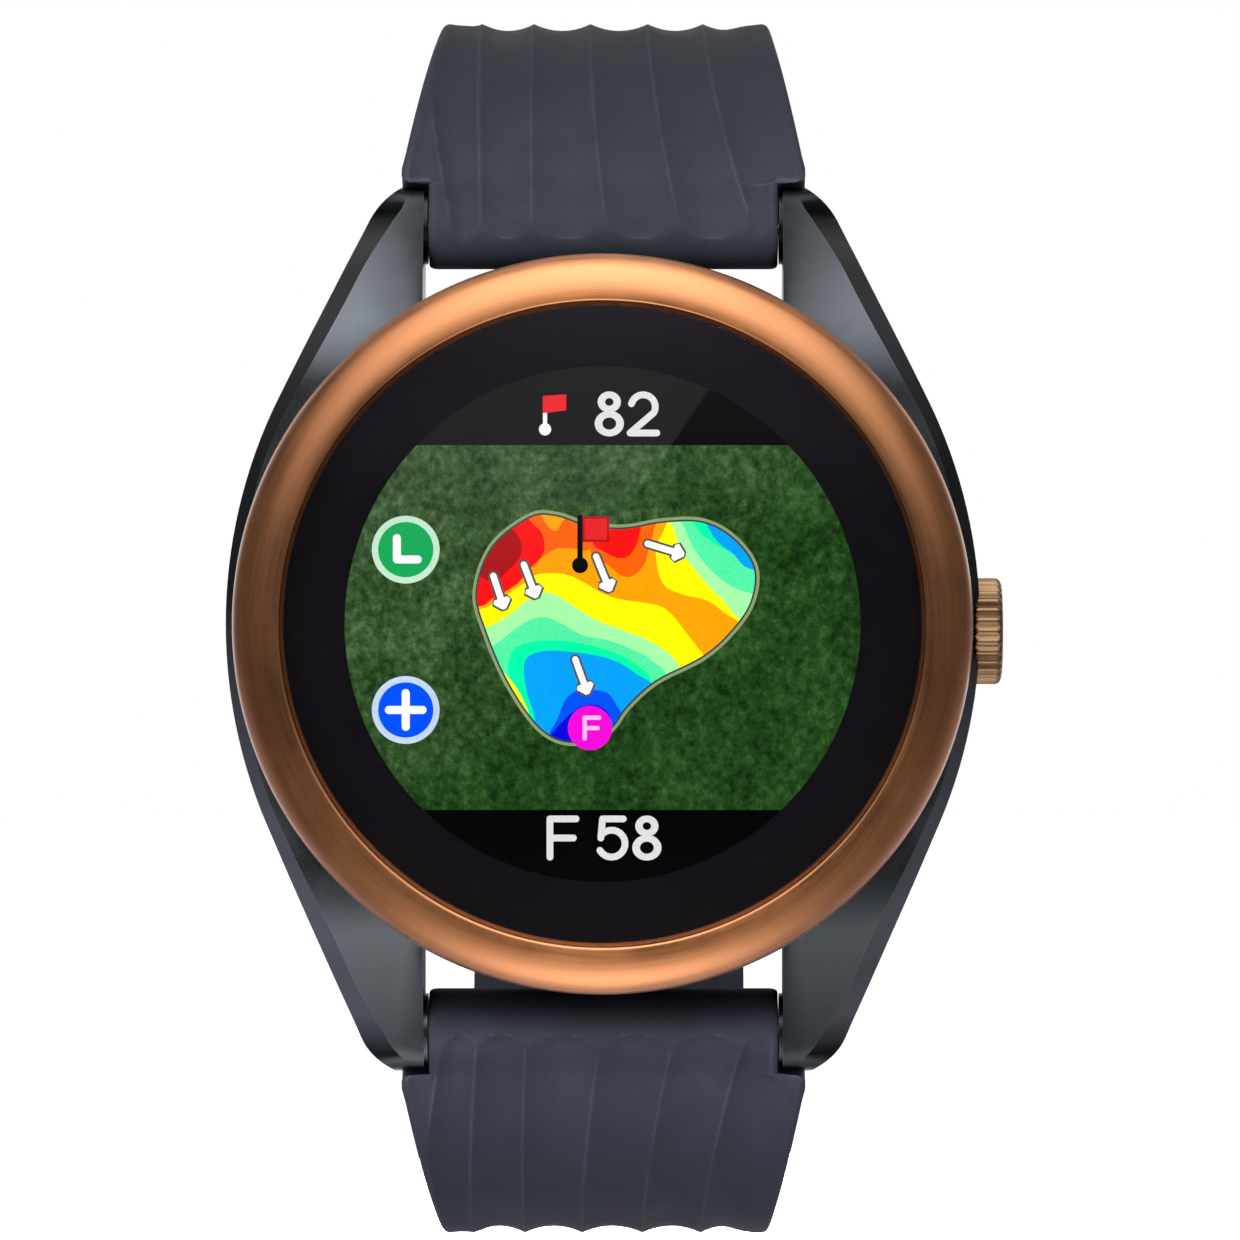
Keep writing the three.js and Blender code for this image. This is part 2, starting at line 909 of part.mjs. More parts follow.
// The bush that the stem runs in, with an inner groove for the seal.
function crownTube() {
  const { tubeRadius, tubeBore, tubeInside, tubeOutside, sealGroove } = CROWN;
  const profile = [
    [tubeBore, tubeInside],
    [tubeRadius, tubeInside],
    [tubeRadius, tubeOutside],
    [tubeBore, tubeOutside],
    [tubeBore, sealGroove.to],
    [sealGroove.radius, sealGroove.to],
    [sealGroove.radius, sealGroove.from],
    [tubeBore, sealGroove.from],
  ].map(([r, x]) => new THREE.Vector2(r, x));
  const geometry = new THREE.LatheGeometry([...profile, profile[0]], 20);
  geometry.rotateZ(-Math.PI / 2);
  geometry.translate(0, -CROWN.height, CROWN.z);
  return solid(geometry);
}

function crownSeal() {
  const { radius, wire, x } = CROWN.seal;
  const geometry = new THREE.TorusGeometry(radius, wire, 6, 16);
  geometry.rotateY(Math.PI / 2);
  geometry.translate(x, -CROWN.height, CROWN.z);
  return solid(geometry);
}

function stemClip() {
  const { height, z } = CROWN;
  const { radius, bore, from, to, gapHalf } = CROWN.clip;
  const hole = rodX(holeRadius(bore), from - PAST, to + PAST, height, z);
  const gap = box(
    from - PAST,
    to + PAST,
    height,
    height + radius + PAST,
    z - gapHalf,
    z + gapHalf,
  );
  return without(rodX(radius, from, to, height, z, 20), hole, gap);
}

function switchBody() {
  const { height, z } = CROWN;
  const { inside, outside, bottom, top, halfWidth, boreRadius, boreFloor } = SWITCH;
  return box(inside, outside, bottom, top, z - halfWidth, z + halfWidth).subtract(
    rodX(holeRadius(boreRadius), boreFloor, outside + PAST, height, z),
  );
}

// ---- Spring bars -----------------------------------------------------------------------------

function barTube(z) {
  const tube = rodX(BAR.tubeRadius, -BAR.tubeHalf, BAR.tubeHalf, LUG.barHeight, z);
  return tube.subtract(
    rodX(
      holeRadius(BAR.tubeBore),
      -BAR.tubeHalf - PAST,
      BAR.tubeHalf + PAST,
      LUG.barHeight,
      z,
    ),
  );
}

function barPin(z, side) {
  const rod = (radius, from, to) => {
    const ends = [from * side, to * side];
    return rodX(radius, Math.min(...ends), Math.max(...ends), LUG.barHeight, z);
  };
  return joined(
    rod(BAR.pinRadius, BAR.pinInside, BAR.pinTip),
    rod(BAR.flangeRadius, BAR.flangeFrom, BAR.flangeTo),
  );
}

function barSpring(z) {
  const { coilRadius, halfLength, turns, wire, stepsPerTurn } = SPRING;
  class Coil extends THREE.Curve {
    getPoint(t, target = new THREE.Vector3()) {
      const angle = t * turns * 2 * Math.PI;
      return target.set(
        halfLength * (2 * t - 1),
        coilRadius * Math.cos(angle),
        coilRadius * Math.sin(angle),
      );
    }
  }
  const section = polygon([
    [-wire, -wire],
    [wire, -wire],
    [wire, wire],
    [-wire, wire],
  ]);
  const geometry = new THREE.ExtrudeGeometry(section, {
    steps: turns * stepsPerTurn,
    bevelEnabled: false,
    extrudePath: new Coil(),
  });
  geometry.translate(0, -LUG.barHeight, z);
  return solid(geometry);
}

// ---- Strap -----------------------------------------------------------------------------------

// A strap half's centreline, seen from the side. It leaves its spring bar at the start angle and
// follows arcs and straights, each [length, radius], with radius 0 for a straight. The angle is
// measured from "away from the case" towards "away from the display".
function centreline(barZ, runs) {
  const pieces = [];
  let out = barZ;
  let y = -LUG.barHeight;
  let angle = radians(STRAP.startAngle);
  let from = 0;
  for (const [length, radius] of runs) {
    pieces.push({ from, length, radius, out, y, angle });
    const end = along(pieces.at(-1), length);
    ({ out, y, angle } = end);
    from += length;
  }
  const at = (s) => {
    const piece = pieces.findLast((p) => s >= p.from) ?? pieces[0];
    return along(piece, s - piece.from);
  };
  return { at, length: from };
}

function along({ radius, out, y, angle }, distance) {
  if (!radius)
    return {
      out: out + distance * Math.cos(angle),
      y: y + distance * Math.sin(angle),
      angle,
    };
  const end = angle + distance / radius;
  return {
    out: out + radius * (Math.sin(end) - Math.sin(angle)),
    y: y + radius * (Math.cos(angle) - Math.cos(end)),
    angle: end,
  };
}

const quarterLoop = radians(90 - STRAP.startAngle) * STRAP.loopRadius;
const UPPER_RUNS = [
  [quarterLoop, STRAP.loopRadius],
  [6.3, 60],
  [42, 0],
];
const LOWER_RUNS = [
  [quarterLoop, STRAP.loopRadius],
  [radians(90) * 31, 31],
  [29.5, 70],
];
const upperLine = centreline(BAR_Z.upper, UPPER_RUNS);
const lowerLine = centreline(BAR_Z.lower, LOWER_RUNS);

// The strap narrows evenly, as seen from the front, from its shoulders to the widest part of the
// loop, and then on to the end width.
function widthAt(line, endWidth, s) {
  if (s <= quarterLoop) {
    const start = line.at(STRAP.notchRadius).out;
    const share = (line.at(s).out - start) / (line.at(quarterLoop).out - start);
    return THREE.MathUtils.lerp(
      STRAP.shoulderWidth,
      STRAP.loopWidth,
      Math.max(0, share),
    );
  }
  const share = Math.min(1, (s - quarterLoop) / STRAP.taper);
  return THREE.MathUtils.lerp(STRAP.loopWidth, endWidth, share);
}

const thicknessAt = (s) =>
  THREE.MathUtils.lerp(
    STRAP.rootThickness,
    STRAP.thickness,
    THREE.MathUtils.smoothstep(s, STRAP.thinFrom, STRAP.thinTo),
  );

// A straight bar with chamfered edges, bent along a centreline.
function bentStrip(line, steps, width) {
  const { corner } = STRAP;
  const section = polygon([
    [-0.5 + corner / 4, -0.5],
    [0.5 - corner / 4, -0.5],
    [0.5, -0.5 + corner],
    [0.5, 0.5 - corner],
    [0.5 - corner / 4, 0.5],
    [-0.5 + corner / 4, 0.5],
    [-0.5, 0.5 - corner],
    [-0.5, -0.5 + corner],
  ]);
  const geometry = new THREE.ExtrudeGeometry(section, {
    depth: 1,
    steps,
    bevelEnabled: false,
  });
  const position = geometry.attributes.position;
  for (let i = 0; i < position.count; i++) {
    const s = position.getZ(i) * line.length;
    const { out, y, angle } = line.at(s);
    const lift = position.getY(i) * thicknessAt(s);
    position.setXYZ(
      i,
      position.getX(i) * width(s),
      y - lift * Math.cos(angle),
      out + lift * Math.sin(angle),
    );
  }
  return solid(geometry);
}

// The end that turns on the spring bar: a roll between the lugs, and shoulders cut round to
// clear the lug tips.
function strapRoot(strip, barZ) {
  const half = STRAP.lugWidth / 2;
  const roll = rodX(STRAP.rollRadius, -half, half, LUG.barHeight, barZ, 28);
  const shoulder = STRAP.shoulderWidth / 2 + PAST;
  const clear = [
    [half, shoulder],
    [-shoulder, -half],
  ].map(([x0, x1]) =>
    rodX(holeRadius(STRAP.notchRadius, 28), x0, x1, LUG.barHeight, barZ, 28),
  );
  const bore = rodX(
    holeRadius(STRAP.boreRadius),
    -half - PAST,
    half + PAST,
    LUG.barHeight,
    barZ,
  );
  return without(joined(without(strip, ...clear), roll), bore);
}

// A rod through the strap's thickness at one place along it.
function throughStrap(line, s, radius) {
  const { out, y, angle } = line.at(s);
  const depth = STRAP.thickness + 2 * PAST;
  const geometry = new THREE.CylinderGeometry(radius, radius, depth, 12);
  geometry.rotateX(-angle);
  geometry.translate(0, y, out);
  return solid(geometry);
}

function upperStrap() {
  const strip = bentStrip(upperLine, 24, (s) =>
    widthAt(upperLine, STRAP.buckleEndWidth, s),
  );
  const { out, y, angle } = upperLine.at(upperLine.length);
  const half = STRAP.buckleEndWidth / 2;
  const roll = rodX(BUCKLE.rollRadius, -half, half, -y, out, 20);
  const bore = rodX(holeRadius(BUCKLE.rollBore), -half - PAST, half + PAST, -y, out);
  const { width, length, shift } = STRAP.tongueSlot;
  const slotGeometry = new THREE.BoxGeometry(width, 4 * BUCKLE.rollRadius, length);
  slotGeometry.translate(0, 0, shift);
  slotGeometry.rotateX(-angle);
  slotGeometry.translate(0, y, out);
  return without(
    joined(strapRoot(strip, BAR_Z.upper), roll),
    bore,
    solid(slotGeometry),
  );
}

function lowerStrap() {
  const { tipLength, tipShare } = STRAP;
  const tipStart = lowerLine.length - tipLength;
  const width = (s) => {
    const share = THREE.MathUtils.clamp((s - tipStart) / tipLength, 0, 1);
    const round = Math.sqrt(1 - Math.min(tipShare, share * share));
    return widthAt(lowerLine, STRAP.tailWidth, s) * round;
  };
  const strip = bentStrip(lowerLine, 36, width);
  const holes = Array.from({ length: HOLES.count }, (_, i) =>
    throughStrap(
      lowerLine,
      lowerLine.length - HOLES.fromTip - i * HOLES.pitch,
      HOLES.radius,
    ),
  );
  return without(strapRoot(strip, BAR_Z.lower), ...holes);
}

// ---- Buckle and keepers, in a frame whose z runs along the strap and -y out of its face --------

function keeper() {
  const { innerHalf, wall, innerUnder, innerOver, length } = KEEPER;
  const shape = roundedRectangle(
    -innerHalf - wall,
    innerHalf + wall,
    -innerUnder - wall,
    innerOver + wall,
    KEEPER.corner,
  );
  shape.holes.push(
    roundedRectangle(-innerHalf, innerHalf, -innerUnder, innerOver, KEEPER.innerCorner),
  );
  const geometry = new THREE.ExtrudeGeometry(shape, {
    depth: length,
    bevelEnabled: false,
    curveSegments: 3,
  });
  geometry.rotateZ(Math.PI);
  geometry.translate(0, 0, -length / 2);
  return solid(geometry);
}

function buckleFrame() {
  const { halfWidth, innerHalf, length, barFrom, back, halfThick } = BUCKLE;
  const plan = roundedRectangle(-halfWidth, halfWidth, back, length, BUCKLE.corner);
  const plate = slab(plan, -halfThick, halfThick, { curveSegments: 4 });
  const reach = halfThick + PAST;
  const opening = box(-innerHalf, innerHalf, -reach, reach, back - PAST, barFrom);
  const eyes = rodX(holeRadius(BUCKLE.eyeRadius), -halfWidth - PAST, halfWidth + PAST, 0, 0);
  return without(plate, opening, eyes);
}

function buckleTongue() {
  const { halfWidth, eyeRadius, eyeHalf, eyeBore, side } = TONGUE;
  const eye = rodX(eyeRadius, -eyeHalf, eyeHalf, 0, 0, 20);
  const bore = rodX(holeRadius(eyeBore), -eyeHalf - PAST, eyeHalf + PAST, 0, 0);
  return joined(across(polygon(side), -halfWidth, halfWidth), eye).subtract(bore);
}

// A group standing at a place along the upper strap, its z along the strap.
function strapStation(s) {
  const { out, y, angle } = upperLine.at(s);
  const group = new THREE.Group();
  group.position.set(0, y, out);
  group.rotation.x = -angle;
  watch.add(group);
  return group;
}

// ---- Assembly --------------------------------------------------------------------------------

place("mid_case", "case", midCase());
place("bezel_ring", "copper", bezelRing());
place("cover_glass", "glass", coverGlass());
place(
  "glass_gasket",
  "seal",
  ring(GASKET.inner, GASKET.outer, GASKET.bottom, GASKET.top),
);
place(
  "border_mask",
  "plastic",
  ring(DISPLAY_RADIUS, MASK.outer, MASK.bottom, MASK.top),
);
place("touch_sensor", "film", disc(TOUCH.radius, TOUCH.bottom, TOUCH.top));
place("display_panel", "screen", disc(PANEL.radius, PANEL.bottom, PANEL.top));
place(
  "backlight_unit",
  "film",
  disc(BACKLIGHT.radius, BACKLIGHT.bottom, BACKLIGHT.top),
);
place("display_flex_cable", "flex", displayFlex());
place("inner_frame", "plastic", innerFrame());
place("main_board", "board", mainBoard());
place("processor_chip", "chip", box(...PROCESSOR));
place("memory_chip", "chip", box(...MEMORY));
place("gps_receiver", "chip", box(...RECEIVER));
place("shield_can", "steel", shieldCan());
place("gps_antenna", "ceramic", box(...ANTENNA));
place("battery", "foil", battery());
place("motor_can", "steel", motorCan());
place("motor_rotor", "steel", motorRotor());
place(
  "buzzer",
  "plastic",
  rodY(BUZZER.radius, BUZZER.bottom, BUZZER.top, 0, BUZZER.z, 24),
);
place("case_back", "steel", caseBack());
place(
  "case_back_gasket",
  "seal",
  ring(BACK_GASKET.inner, BACK_GASKET.outer, BACK_GASKET.bottom, BACK_GASKET.top),
);
SCREW.angles.forEach((angle, i) =>
  place(`case_back_screw_${i + 1}`, "steel", caseBackScrew(angle)),
);
place("contact_block", "plastic", contactBlock());
contactX.forEach((x, i) =>
  place(
    `charge_contact_${i + 1}`,
    "gold",
    rodY(CONTACT.radius, CONTACT.bottom, CONTACT.top, x, CONTACT.z),
  ),
);
place("crown_knob", "copper", crownKnob());
place("crown_stem", "steel", crownStem());
place("crown_tube", "steel", crownTube());
place("crown_seal", "seal", crownSeal());
place("stem_clip", "steel", stemClip());
place("switch_body", "plastic", switchBody());
place(
  "switch_plunger",
  "gold",
  rodX(
    SWITCH.plungerRadius,
    SWITCH.plungerFrom,
    SWITCH.plungerTo,
    CROWN.height,
    CROWN.z,
  ),
);
for (const [end, z] of [
  ["upper", BAR_Z.upper],
  ["lower", -BAR_Z.lower],
]) {
  place(`${end}_bar_tube`, "steel", barTube(z));
  place(`${end}_bar_spring`, "steel", barSpring(z));
  place(`${end}_bar_pin_left`, "steel", barPin(z, -1));
  place(`${end}_bar_pin_right`, "steel", barPin(z, 1));
}
place("strap_upper", "strap", upperStrap());
const sixOClock = new THREE.Group();
sixOClock.rotation.y = Math.PI;
watch.add(sixOClock);
place("strap_lower", "strap", lowerStrap(), sixOClock);
place(
  "fixed_keeper",
  "strap",
  keeper(),
  strapStation(upperLine.length - KEEPER.fixedBack),
);
place(
  "free_keeper",
  "strap",
  keeper(),
  strapStation(upperLine.length - KEEPER.freeBack),
);
const buckle = strapStation(upperLine.length);
place("buckle_frame", "steel", buckleFrame(), buckle);
place("buckle_tongue", "steel", buckleTongue(), buckle);
place(
  "buckle_bar",
  "steel",
  rodX(BUCKLE.barRadius, -BUCKLE.barHalf, BUCKLE.barHalf, 0, 0),
  buckle,
);

export default watch;
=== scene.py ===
"""Looks of the golf GPS watch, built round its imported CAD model.

Frame: the origin is the centre of the case back's wrist face, +Z points to 12 o'clock, +X to
3 o'clock and -Y out of the display. Sizes in this script are millimetres, turned into Blender's
metres by point(). A height is measured from the wrist face towards the display, so y = -height.
"""
import math

import bpy
import bmesh
from mathutils import Matrix, Vector
from mathutils.geometry import delaunay_2d_cdt

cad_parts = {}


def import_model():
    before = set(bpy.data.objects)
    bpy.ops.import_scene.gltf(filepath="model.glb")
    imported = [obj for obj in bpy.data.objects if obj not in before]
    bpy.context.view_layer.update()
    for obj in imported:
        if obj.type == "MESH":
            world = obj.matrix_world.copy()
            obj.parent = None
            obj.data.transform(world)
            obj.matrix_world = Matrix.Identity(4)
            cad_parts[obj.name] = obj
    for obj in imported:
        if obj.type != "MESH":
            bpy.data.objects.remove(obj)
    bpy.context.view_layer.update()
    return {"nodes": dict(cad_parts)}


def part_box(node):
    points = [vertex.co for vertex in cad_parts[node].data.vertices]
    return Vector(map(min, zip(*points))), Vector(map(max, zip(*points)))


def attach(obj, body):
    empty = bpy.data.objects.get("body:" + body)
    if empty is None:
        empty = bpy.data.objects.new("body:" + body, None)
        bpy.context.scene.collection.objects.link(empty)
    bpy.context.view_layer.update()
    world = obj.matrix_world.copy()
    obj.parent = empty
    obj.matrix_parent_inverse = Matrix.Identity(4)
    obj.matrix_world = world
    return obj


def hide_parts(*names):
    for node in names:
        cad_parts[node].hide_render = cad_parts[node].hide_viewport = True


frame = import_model()

MM = 0.001

# ---- Driving dimensions (mm), the CAD model's or within a few tenths of them ------------------

CASE_HALF_WIDTH = 23.6
SIDE_RADIUS = 32.0
CASE_BOTTOM = 0.8
CASE_TOP = 9.2
WALL_RADIUS = 21.6
LUG_INNER_X = 11.3
BOSS_X = 11.06
BOSS_RADIUS = 2.3
LUG_CORNER_BACK = 1.2
LUG_TIP_RADIUS = 2.6
HAIR = 0.14  # the finest edge rounding
SLOPE_START = 17.0
BAR_HEIGHT = 3.4
BAR_UPPER = 25.0
BAR_LOWER = 25.6
LUG_CORNER_X = {BAR_UPPER: 14.3, BAR_LOWER: 14.9}
LUG_TIP_X = {BAR_UPPER: 12.6, BAR_LOWER: 13.1}
CROWN_HEIGHT = 5.2
CROWN_Z = -0.45
CROWN_RADIUS = 3.35
CROWN_POCKET = {"radius": 3.6, "start": 22.55, "end": 27}
TUBE_HOLE = {"radius": 1.76, "start": 16, "end": 24}
BAR_HOLE_RADIUS = 0.6
BAR_HOLE_ENDS = (10.6, 12.4)
BOSS_END = 11.8
SCREW_RADIUS = 18.75  # of the circle that the back's screws lie on
SCREW_ANGLES = (45, 135, 225, 315)
RECESS_RADIUS = 20.3
RECESS_FLOOR = 8.1
CAVITY_RADIUS = 18.8
CAVITY_STEP = 3.0
LOW_CAVITY_RADIUS = 16.4
DISPLAY_RADIUS = 16.05


# ---- Geometry helpers -------------------------------------------------------------------------

def point(x, height, z):
    return Vector((x, -height, z)) * MM


def lerp(a, b, share):
    return a + (b - a) * share


def smooth_step(value, low, high):
    share = min(1.0, max(0.0, (value - low) / (high - low)))
    return share * share * (3 - 2 * share)


def arc(cx, cy, radius, start, end, steps):
    """Points of an arc, angles in degrees, both ends included."""
    angles = [math.radians(lerp(start, end, i / steps)) for i in range(steps + 1)]
    return [(cx + radius * math.cos(a), cy + radius * math.sin(a)) for a in angles]


def mesh_object(name, points, faces, sharp=32):
    """A smooth-shaded object with outward faces, creased where faces meet at over `sharp` degrees."""
    mesh = bpy.data.meshes.new(name)
    mesh.from_pydata(points, [], faces)
    solid = bmesh.new()
    solid.from_mesh(mesh)
    bmesh.ops.remove_doubles(solid, verts=solid.verts, dist=2e-7)
    bmesh.ops.dissolve_degenerate(solid, edges=solid.edges, dist=1e-7)
    bmesh.ops.recalc_face_normals(solid, faces=solid.faces)
    solid.to_mesh(mesh)
    solid.free()
    made = bpy.data.objects.new(name, mesh)
    bpy.context.scene.collection.objects.link(made)
    shade(made, sharp)
    return made


def shade(made, sharp):
    made.data.shade_smooth()
    made.data.set_sharp_from_angle(angle=math.radians(sharp))


def grid_faces(rows, columns, closed_columns=True):
    """Quads that join neighbouring rows of equally many points."""
    last = columns if closed_columns else columns - 1
    return [
        (r * columns + c, r * columns + (c + 1) % columns,
         (r + 1) * columns + (c + 1) % columns, (r + 1) * columns + c)
        for r in range(rows - 1)
        for c in range(last)
    ]


def tube(name, loops, sharp=32):
    """A closed body through a row of equal loops, with a face over each end."""
    columns = len(loops[0])
    faces = grid_faces(len(loops), columns)
    faces.append(tuple(range(columns)))
    faces.append(tuple(range((len(loops) - 1) * columns, len(loops) * columns)))
    return mesh_object(name, [p for loop in loops for p in loop], faces, sharp)


def turned(name, profile, place, segments=192, sharp=32):
    """A body of revolution. place(radius, along, angle) puts each point; the profile is a closed
    outline, or an open one that starts and ends on the axis."""
    on_axis = profile[0][0] == 0
    points = []
    for step in range(segments):
        angle = 2 * math.pi * step / segments
        points += [place(r, along, angle) for r, along in profile]
    columns = len(profile)
    faces = []
    for step in range(segments):
        here, after = step * columns, (step + 1) % segments * columns
        for c in range(columns - 1 if on_axis else columns):
            n = (c + 1) % columns
            faces.append((here + c, here + n, after + n, after + c))
    return mesh_object(name, points, faces, sharp)


def on_watch_axis(radius, height, angle):
    return point(radius * math.cos(angle), height, radius * math.sin(angle))


def along_x(height, z):
    def place(radius, x, angle):
        return point(x, height + radius * math.sin(angle), z + radius * math.cos(angle))
    return place


def along_height(x, z):
    def place(radius, height, angle):
        return point(x + radius * math.cos(angle), height, z + radius * math.sin(angle))
    return place


def rod(name, place, radius, start, end, segments=48):
    return turned(name, [(0, start), (radius, start), (radius, end), (0, end)], place, segments)


def block(name, low, high):
    """A plain cutter between two corners."""
    corners = [point(x, h, z) for x in (low[0], high[0]) for h in (low[1], high[1])
               for z in (low[2], high[2])]
    faces = [(0, 1, 3, 2), (4, 5, 7, 6), (0, 1, 5, 4), (2, 3, 7, 6), (0, 2, 6, 4), (1, 3, 7, 5)]
    return mesh_object(name, corners, faces)


def apply_modifiers(made):
    graph = bpy.context.evaluated_depsgraph_get()
    final = bpy.data.meshes.new_from_object(made.evaluated_get(graph))
    made.modifiers.clear()
    made.data = final


def combine(made, tools, operation, sharp=32):
    """Cuts the tools from a body, or joins them to it, and removes them."""
    for tool in tools:
        change = made.modifiers.new("combine", "BOOLEAN")
        change.operation = operation
        change.solver = "EXACT"
        change.object = tool
    apply_modifiers(made)
    for tool in tools:
        bpy.data.objects.remove(tool)
    shade(made, sharp)
    return made


def bind(made, body, slot, *nodes):
    """Rides on a CAD body and stands for CAD nodes; `slot` is not used."""
    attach(made, body)
    if nodes:
        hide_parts(*nodes)
    return made


# ---- Material helpers -------------------------------------------------------------------------

def srgb(red, green, blue):
    """A colour given as 0-255 screen values, as Blender's linear values."""
    values = [c / 255 for c in (red, green, blue)]
    return [c / 12.92 if c < 0.04045 else ((c + 0.055) / 1.055) ** 2.4 for c in values] + [1.0]


class Nodes:
    """Builds a node tree: add() makes a node, and a socket passed as an input is linked."""

    def __init__(self, tree):
        self.tree = tree
        tree.nodes.clear()

    def add(self, kind, inputs=None, **settings):
        node = self.tree.nodes.new("ShaderNode" + kind)
        for key, value in settings.items():
            setattr(node, key, value)
        for key, value in (inputs or {}).items():
            self.put(node.inputs[key], value)
        return node

    def put(self, socket, value):
        if isinstance(value, bpy.types.NodeSocket):
            self.tree.links.new(value, socket)
        else:
            socket.default_value = value

    def math(self, operation, *values):
        node = self.add("Math", dict(enumerate(values)), operation=operation)
        return node.outputs[0]

    def mix(self, share, first, second, blend="MIX"):
        node = self.add("Mix", data_type="RGBA", blend_type=blend)
        self.put(node.inputs[0], share)
        self.put(node.inputs[6], first)
        self.put(node.inputs[7], second)
        return node.outputs[2]

    def noise(self, where, scale, detail=3.0, rough=0.55):
        node = self.add("TexNoise", {"Vector": where, "Scale": scale, "Detail": detail,
                                     "Roughness": rough})
        return node.outputs["Fac"]

    def ramp(self, value, stops, interpolation="LINEAR"):
        node = self.add("ValToRGB", {"Fac": value})
        ramp = node.color_ramp
        ramp.interpolation = interpolation
        while len(ramp.elements) < len(stops):
            ramp.elements.new(0.5)
        for element, (position, colour) in zip(ramp.elements, stops):
            element.position = position
            element.color = colour
        return node.outputs["Color"]

    def span(self, value, from_low, from_high, to_low, to_high):
        node = self.add("MapRange", {"Value": value, "From Min": from_low, "From Max": from_high,
                                     "To Min": to_low, "To Max": to_high})
        return node.outputs["Result"]

    def position(self):
        return self.add("TexCoord").outputs["Object"]

    def around_axis(self, turn_share=0.0006):
        """The place as (radius, height, a little of the angle), for marks that run in rings."""
        parts = self.add("SeparateXYZ", {"Vector": self.position()})
        x, y, z = parts.outputs
        radius = self.math("SQRT", self.math("ADD", self.math("MULTIPLY", x, x),
                                             self.math("MULTIPLY", z, z)))
        angle = self.math("MULTIPLY", self.math("ARCTAN2", z, x), turn_share)
        return self.add("CombineXYZ", {0: radius, 1: y, 2: angle}).outputs[0]

    def stretched(self, x=1.0, y=1.0, z=1.0):
        """The place scaled by axis, for marks that run in one direction."""
        return self.add("Mapping", {"Vector": self.position(), "Scale": (x, y, z)}).outputs[0]

    def sheen_and_wear_edges(self, radius, low=0.0, high=0.12):
        """One along convex and concave corners, zero on open faces."""
        rounded = self.add("Bevel", {"Radius": radius * MM}, samples=4).outputs[0]
        true = self.add("NewGeometry").outputs["Normal"]
        product = self.add("VectorMath", {0: rounded, 1: true}, operation="DOT_PRODUCT")
        return self.span(product.outputs["Value"], 1 - low, 1 - high, 0.0, 1.0)


MATERIALS = {}


def lug_shade(n, place, blotch):
    """Painted shade on the case: darker towards the lug tips, the gap between the lugs, the
    right-hand side and, on the upper lugs, the bevel."""
    x, _, z = n.add("SeparateXYZ", {"Vector": place}).outputs
    wander = n.math("MULTIPLY", n.math("SUBTRACT", blotch, 0.5), 3.0 * MM)
    far = n.math("ADD", n.math("ABSOLUTE", z), wander)
    along = n.span(far, 19 * MM, 26.5 * MM, n.span(z, -2 * MM, 2 * MM, 1.0, 0.78), 0.42)
    inward = n.span(z, -2 * MM, 2 * MM, 1.0, 0.42)
    across = n.span(n.math("ADD", n.math("ABSOLUTE", x), wander), 11.4 * MM, 15.5 * MM, inward, 1.0)
    right = n.span(x, -4 * MM, 8 * MM, 1.0, n.span(z, -2 * MM, 2 * MM, 0.58, 0.78))
    tilt = n.math("ABSOLUTE", n.add("SeparateXYZ", {
        "Vector": n.add("NewGeometry").outputs["Normal"]}).outputs[1])
    bevel = n.math("MULTIPLY", n.span(tilt, 0.2, 0.35, 0.0, 1.0), n.span(tilt, 0.62, 0.72, 1.0, 0.0))
    bevel = n.math("MULTIPLY", bevel, n.span(z, -2 * MM, 2 * MM, 0.0, 0.66))
    level = n.math("MULTIPLY", n.math("MULTIPLY", along, across), right)
    level = n.math("MULTIPLY", level, n.math("SUBTRACT", 1.0, bevel))
    return n.add("CombineColor", {0: level, 1: level, 2: level}).outputs[0]


def surface(name, dark, light, rough, metallic=0.0, patch=350.0, grain=3500.0, depth=0.02,
            marks="even", edge_sheen_and_wear=None, sheen_and_wear_radius=0.12, stretch_gloss=0.0, shade_with=None, **extra):
    """A finish with mottled colour, uneven roughness and a fine bump. `marks` is "even",
    "rings" (turned on a lathe) or a stretch of the x, y and z axes (brushed); `depth` is the
    bump's height in mm; `edge_sheen_and_wear` is the colour laid along corners, partly rubbed
    wear and partly a painted highlight; `stretch_gloss` spreads the gloss across the marks of a
    lathe; `shade_with` makes a factor of painted shade on the colour; `extra` are Principled
    inputs."""
    material = bpy.data.materials.new(name)
    material.use_nodes = True
    n = Nodes(material.node_tree)
    place = n.position()
    if marks == "rings":
        fine = n.around_axis()
    elif marks == "even":
        fine = place
    else:
        fine = n.stretched(*marks)
    blotch = n.noise(place, patch, 4.0)
    speck = n.noise(fine, grain, 2.0)
    both = n.math("ADD", n.math("MULTIPLY", blotch, 0.6), n.math("MULTIPLY", speck, 0.4))
    colour = n.ramp(both, [(0.38, srgb(*dark)), (0.62, srgb(*light))])
    # Corners lightened towards the edge colour: partly rubbed wear, partly a painted highlight.
    if edge_sheen_and_wear:
        edge = n.sheen_and_wear_edges(sheen_and_wear_radius)
        broken = n.math("MULTIPLY", edge, n.span(blotch, 0.35, 0.6, 0.35, 1.0))
        colour = n.mix(broken, colour, srgb(*edge_sheen_and_wear))
    # Painted shade: shade_with darkens or tints the colour by where it is.
    if shade_with:
        colour = n.mix(1.0, colour, shade_with(n, place, blotch), "MULTIPLY")
    if stretch_gloss:
        tangent = n.add("Tangent", direction_type="RADIAL", axis="Y").outputs[0]
        extra.update({"Anisotropic": stretch_gloss, "Anisotropic Rotation": 0.25,
                      "Tangent": tangent})
    roughness = n.span(both, 0.35, 0.65, max(0.02, rough - 0.07), rough + 0.08)
    bump = n.add("Bump", {"Height": speck, "Strength": 0.7, "Distance": depth * MM})
    shader = n.add("BsdfPrincipled", {
        "Base Color": colour, "Metallic": metallic, "Roughness": roughness,
        "Normal": bump.outputs[0], **extra,
    })
    n.add("OutputMaterial", {"Surface": shader.outputs[0]})
    MATERIALS[name] = material


def paint(made, material):
    made.data.materials.clear()
    made.data.materials.append(material)


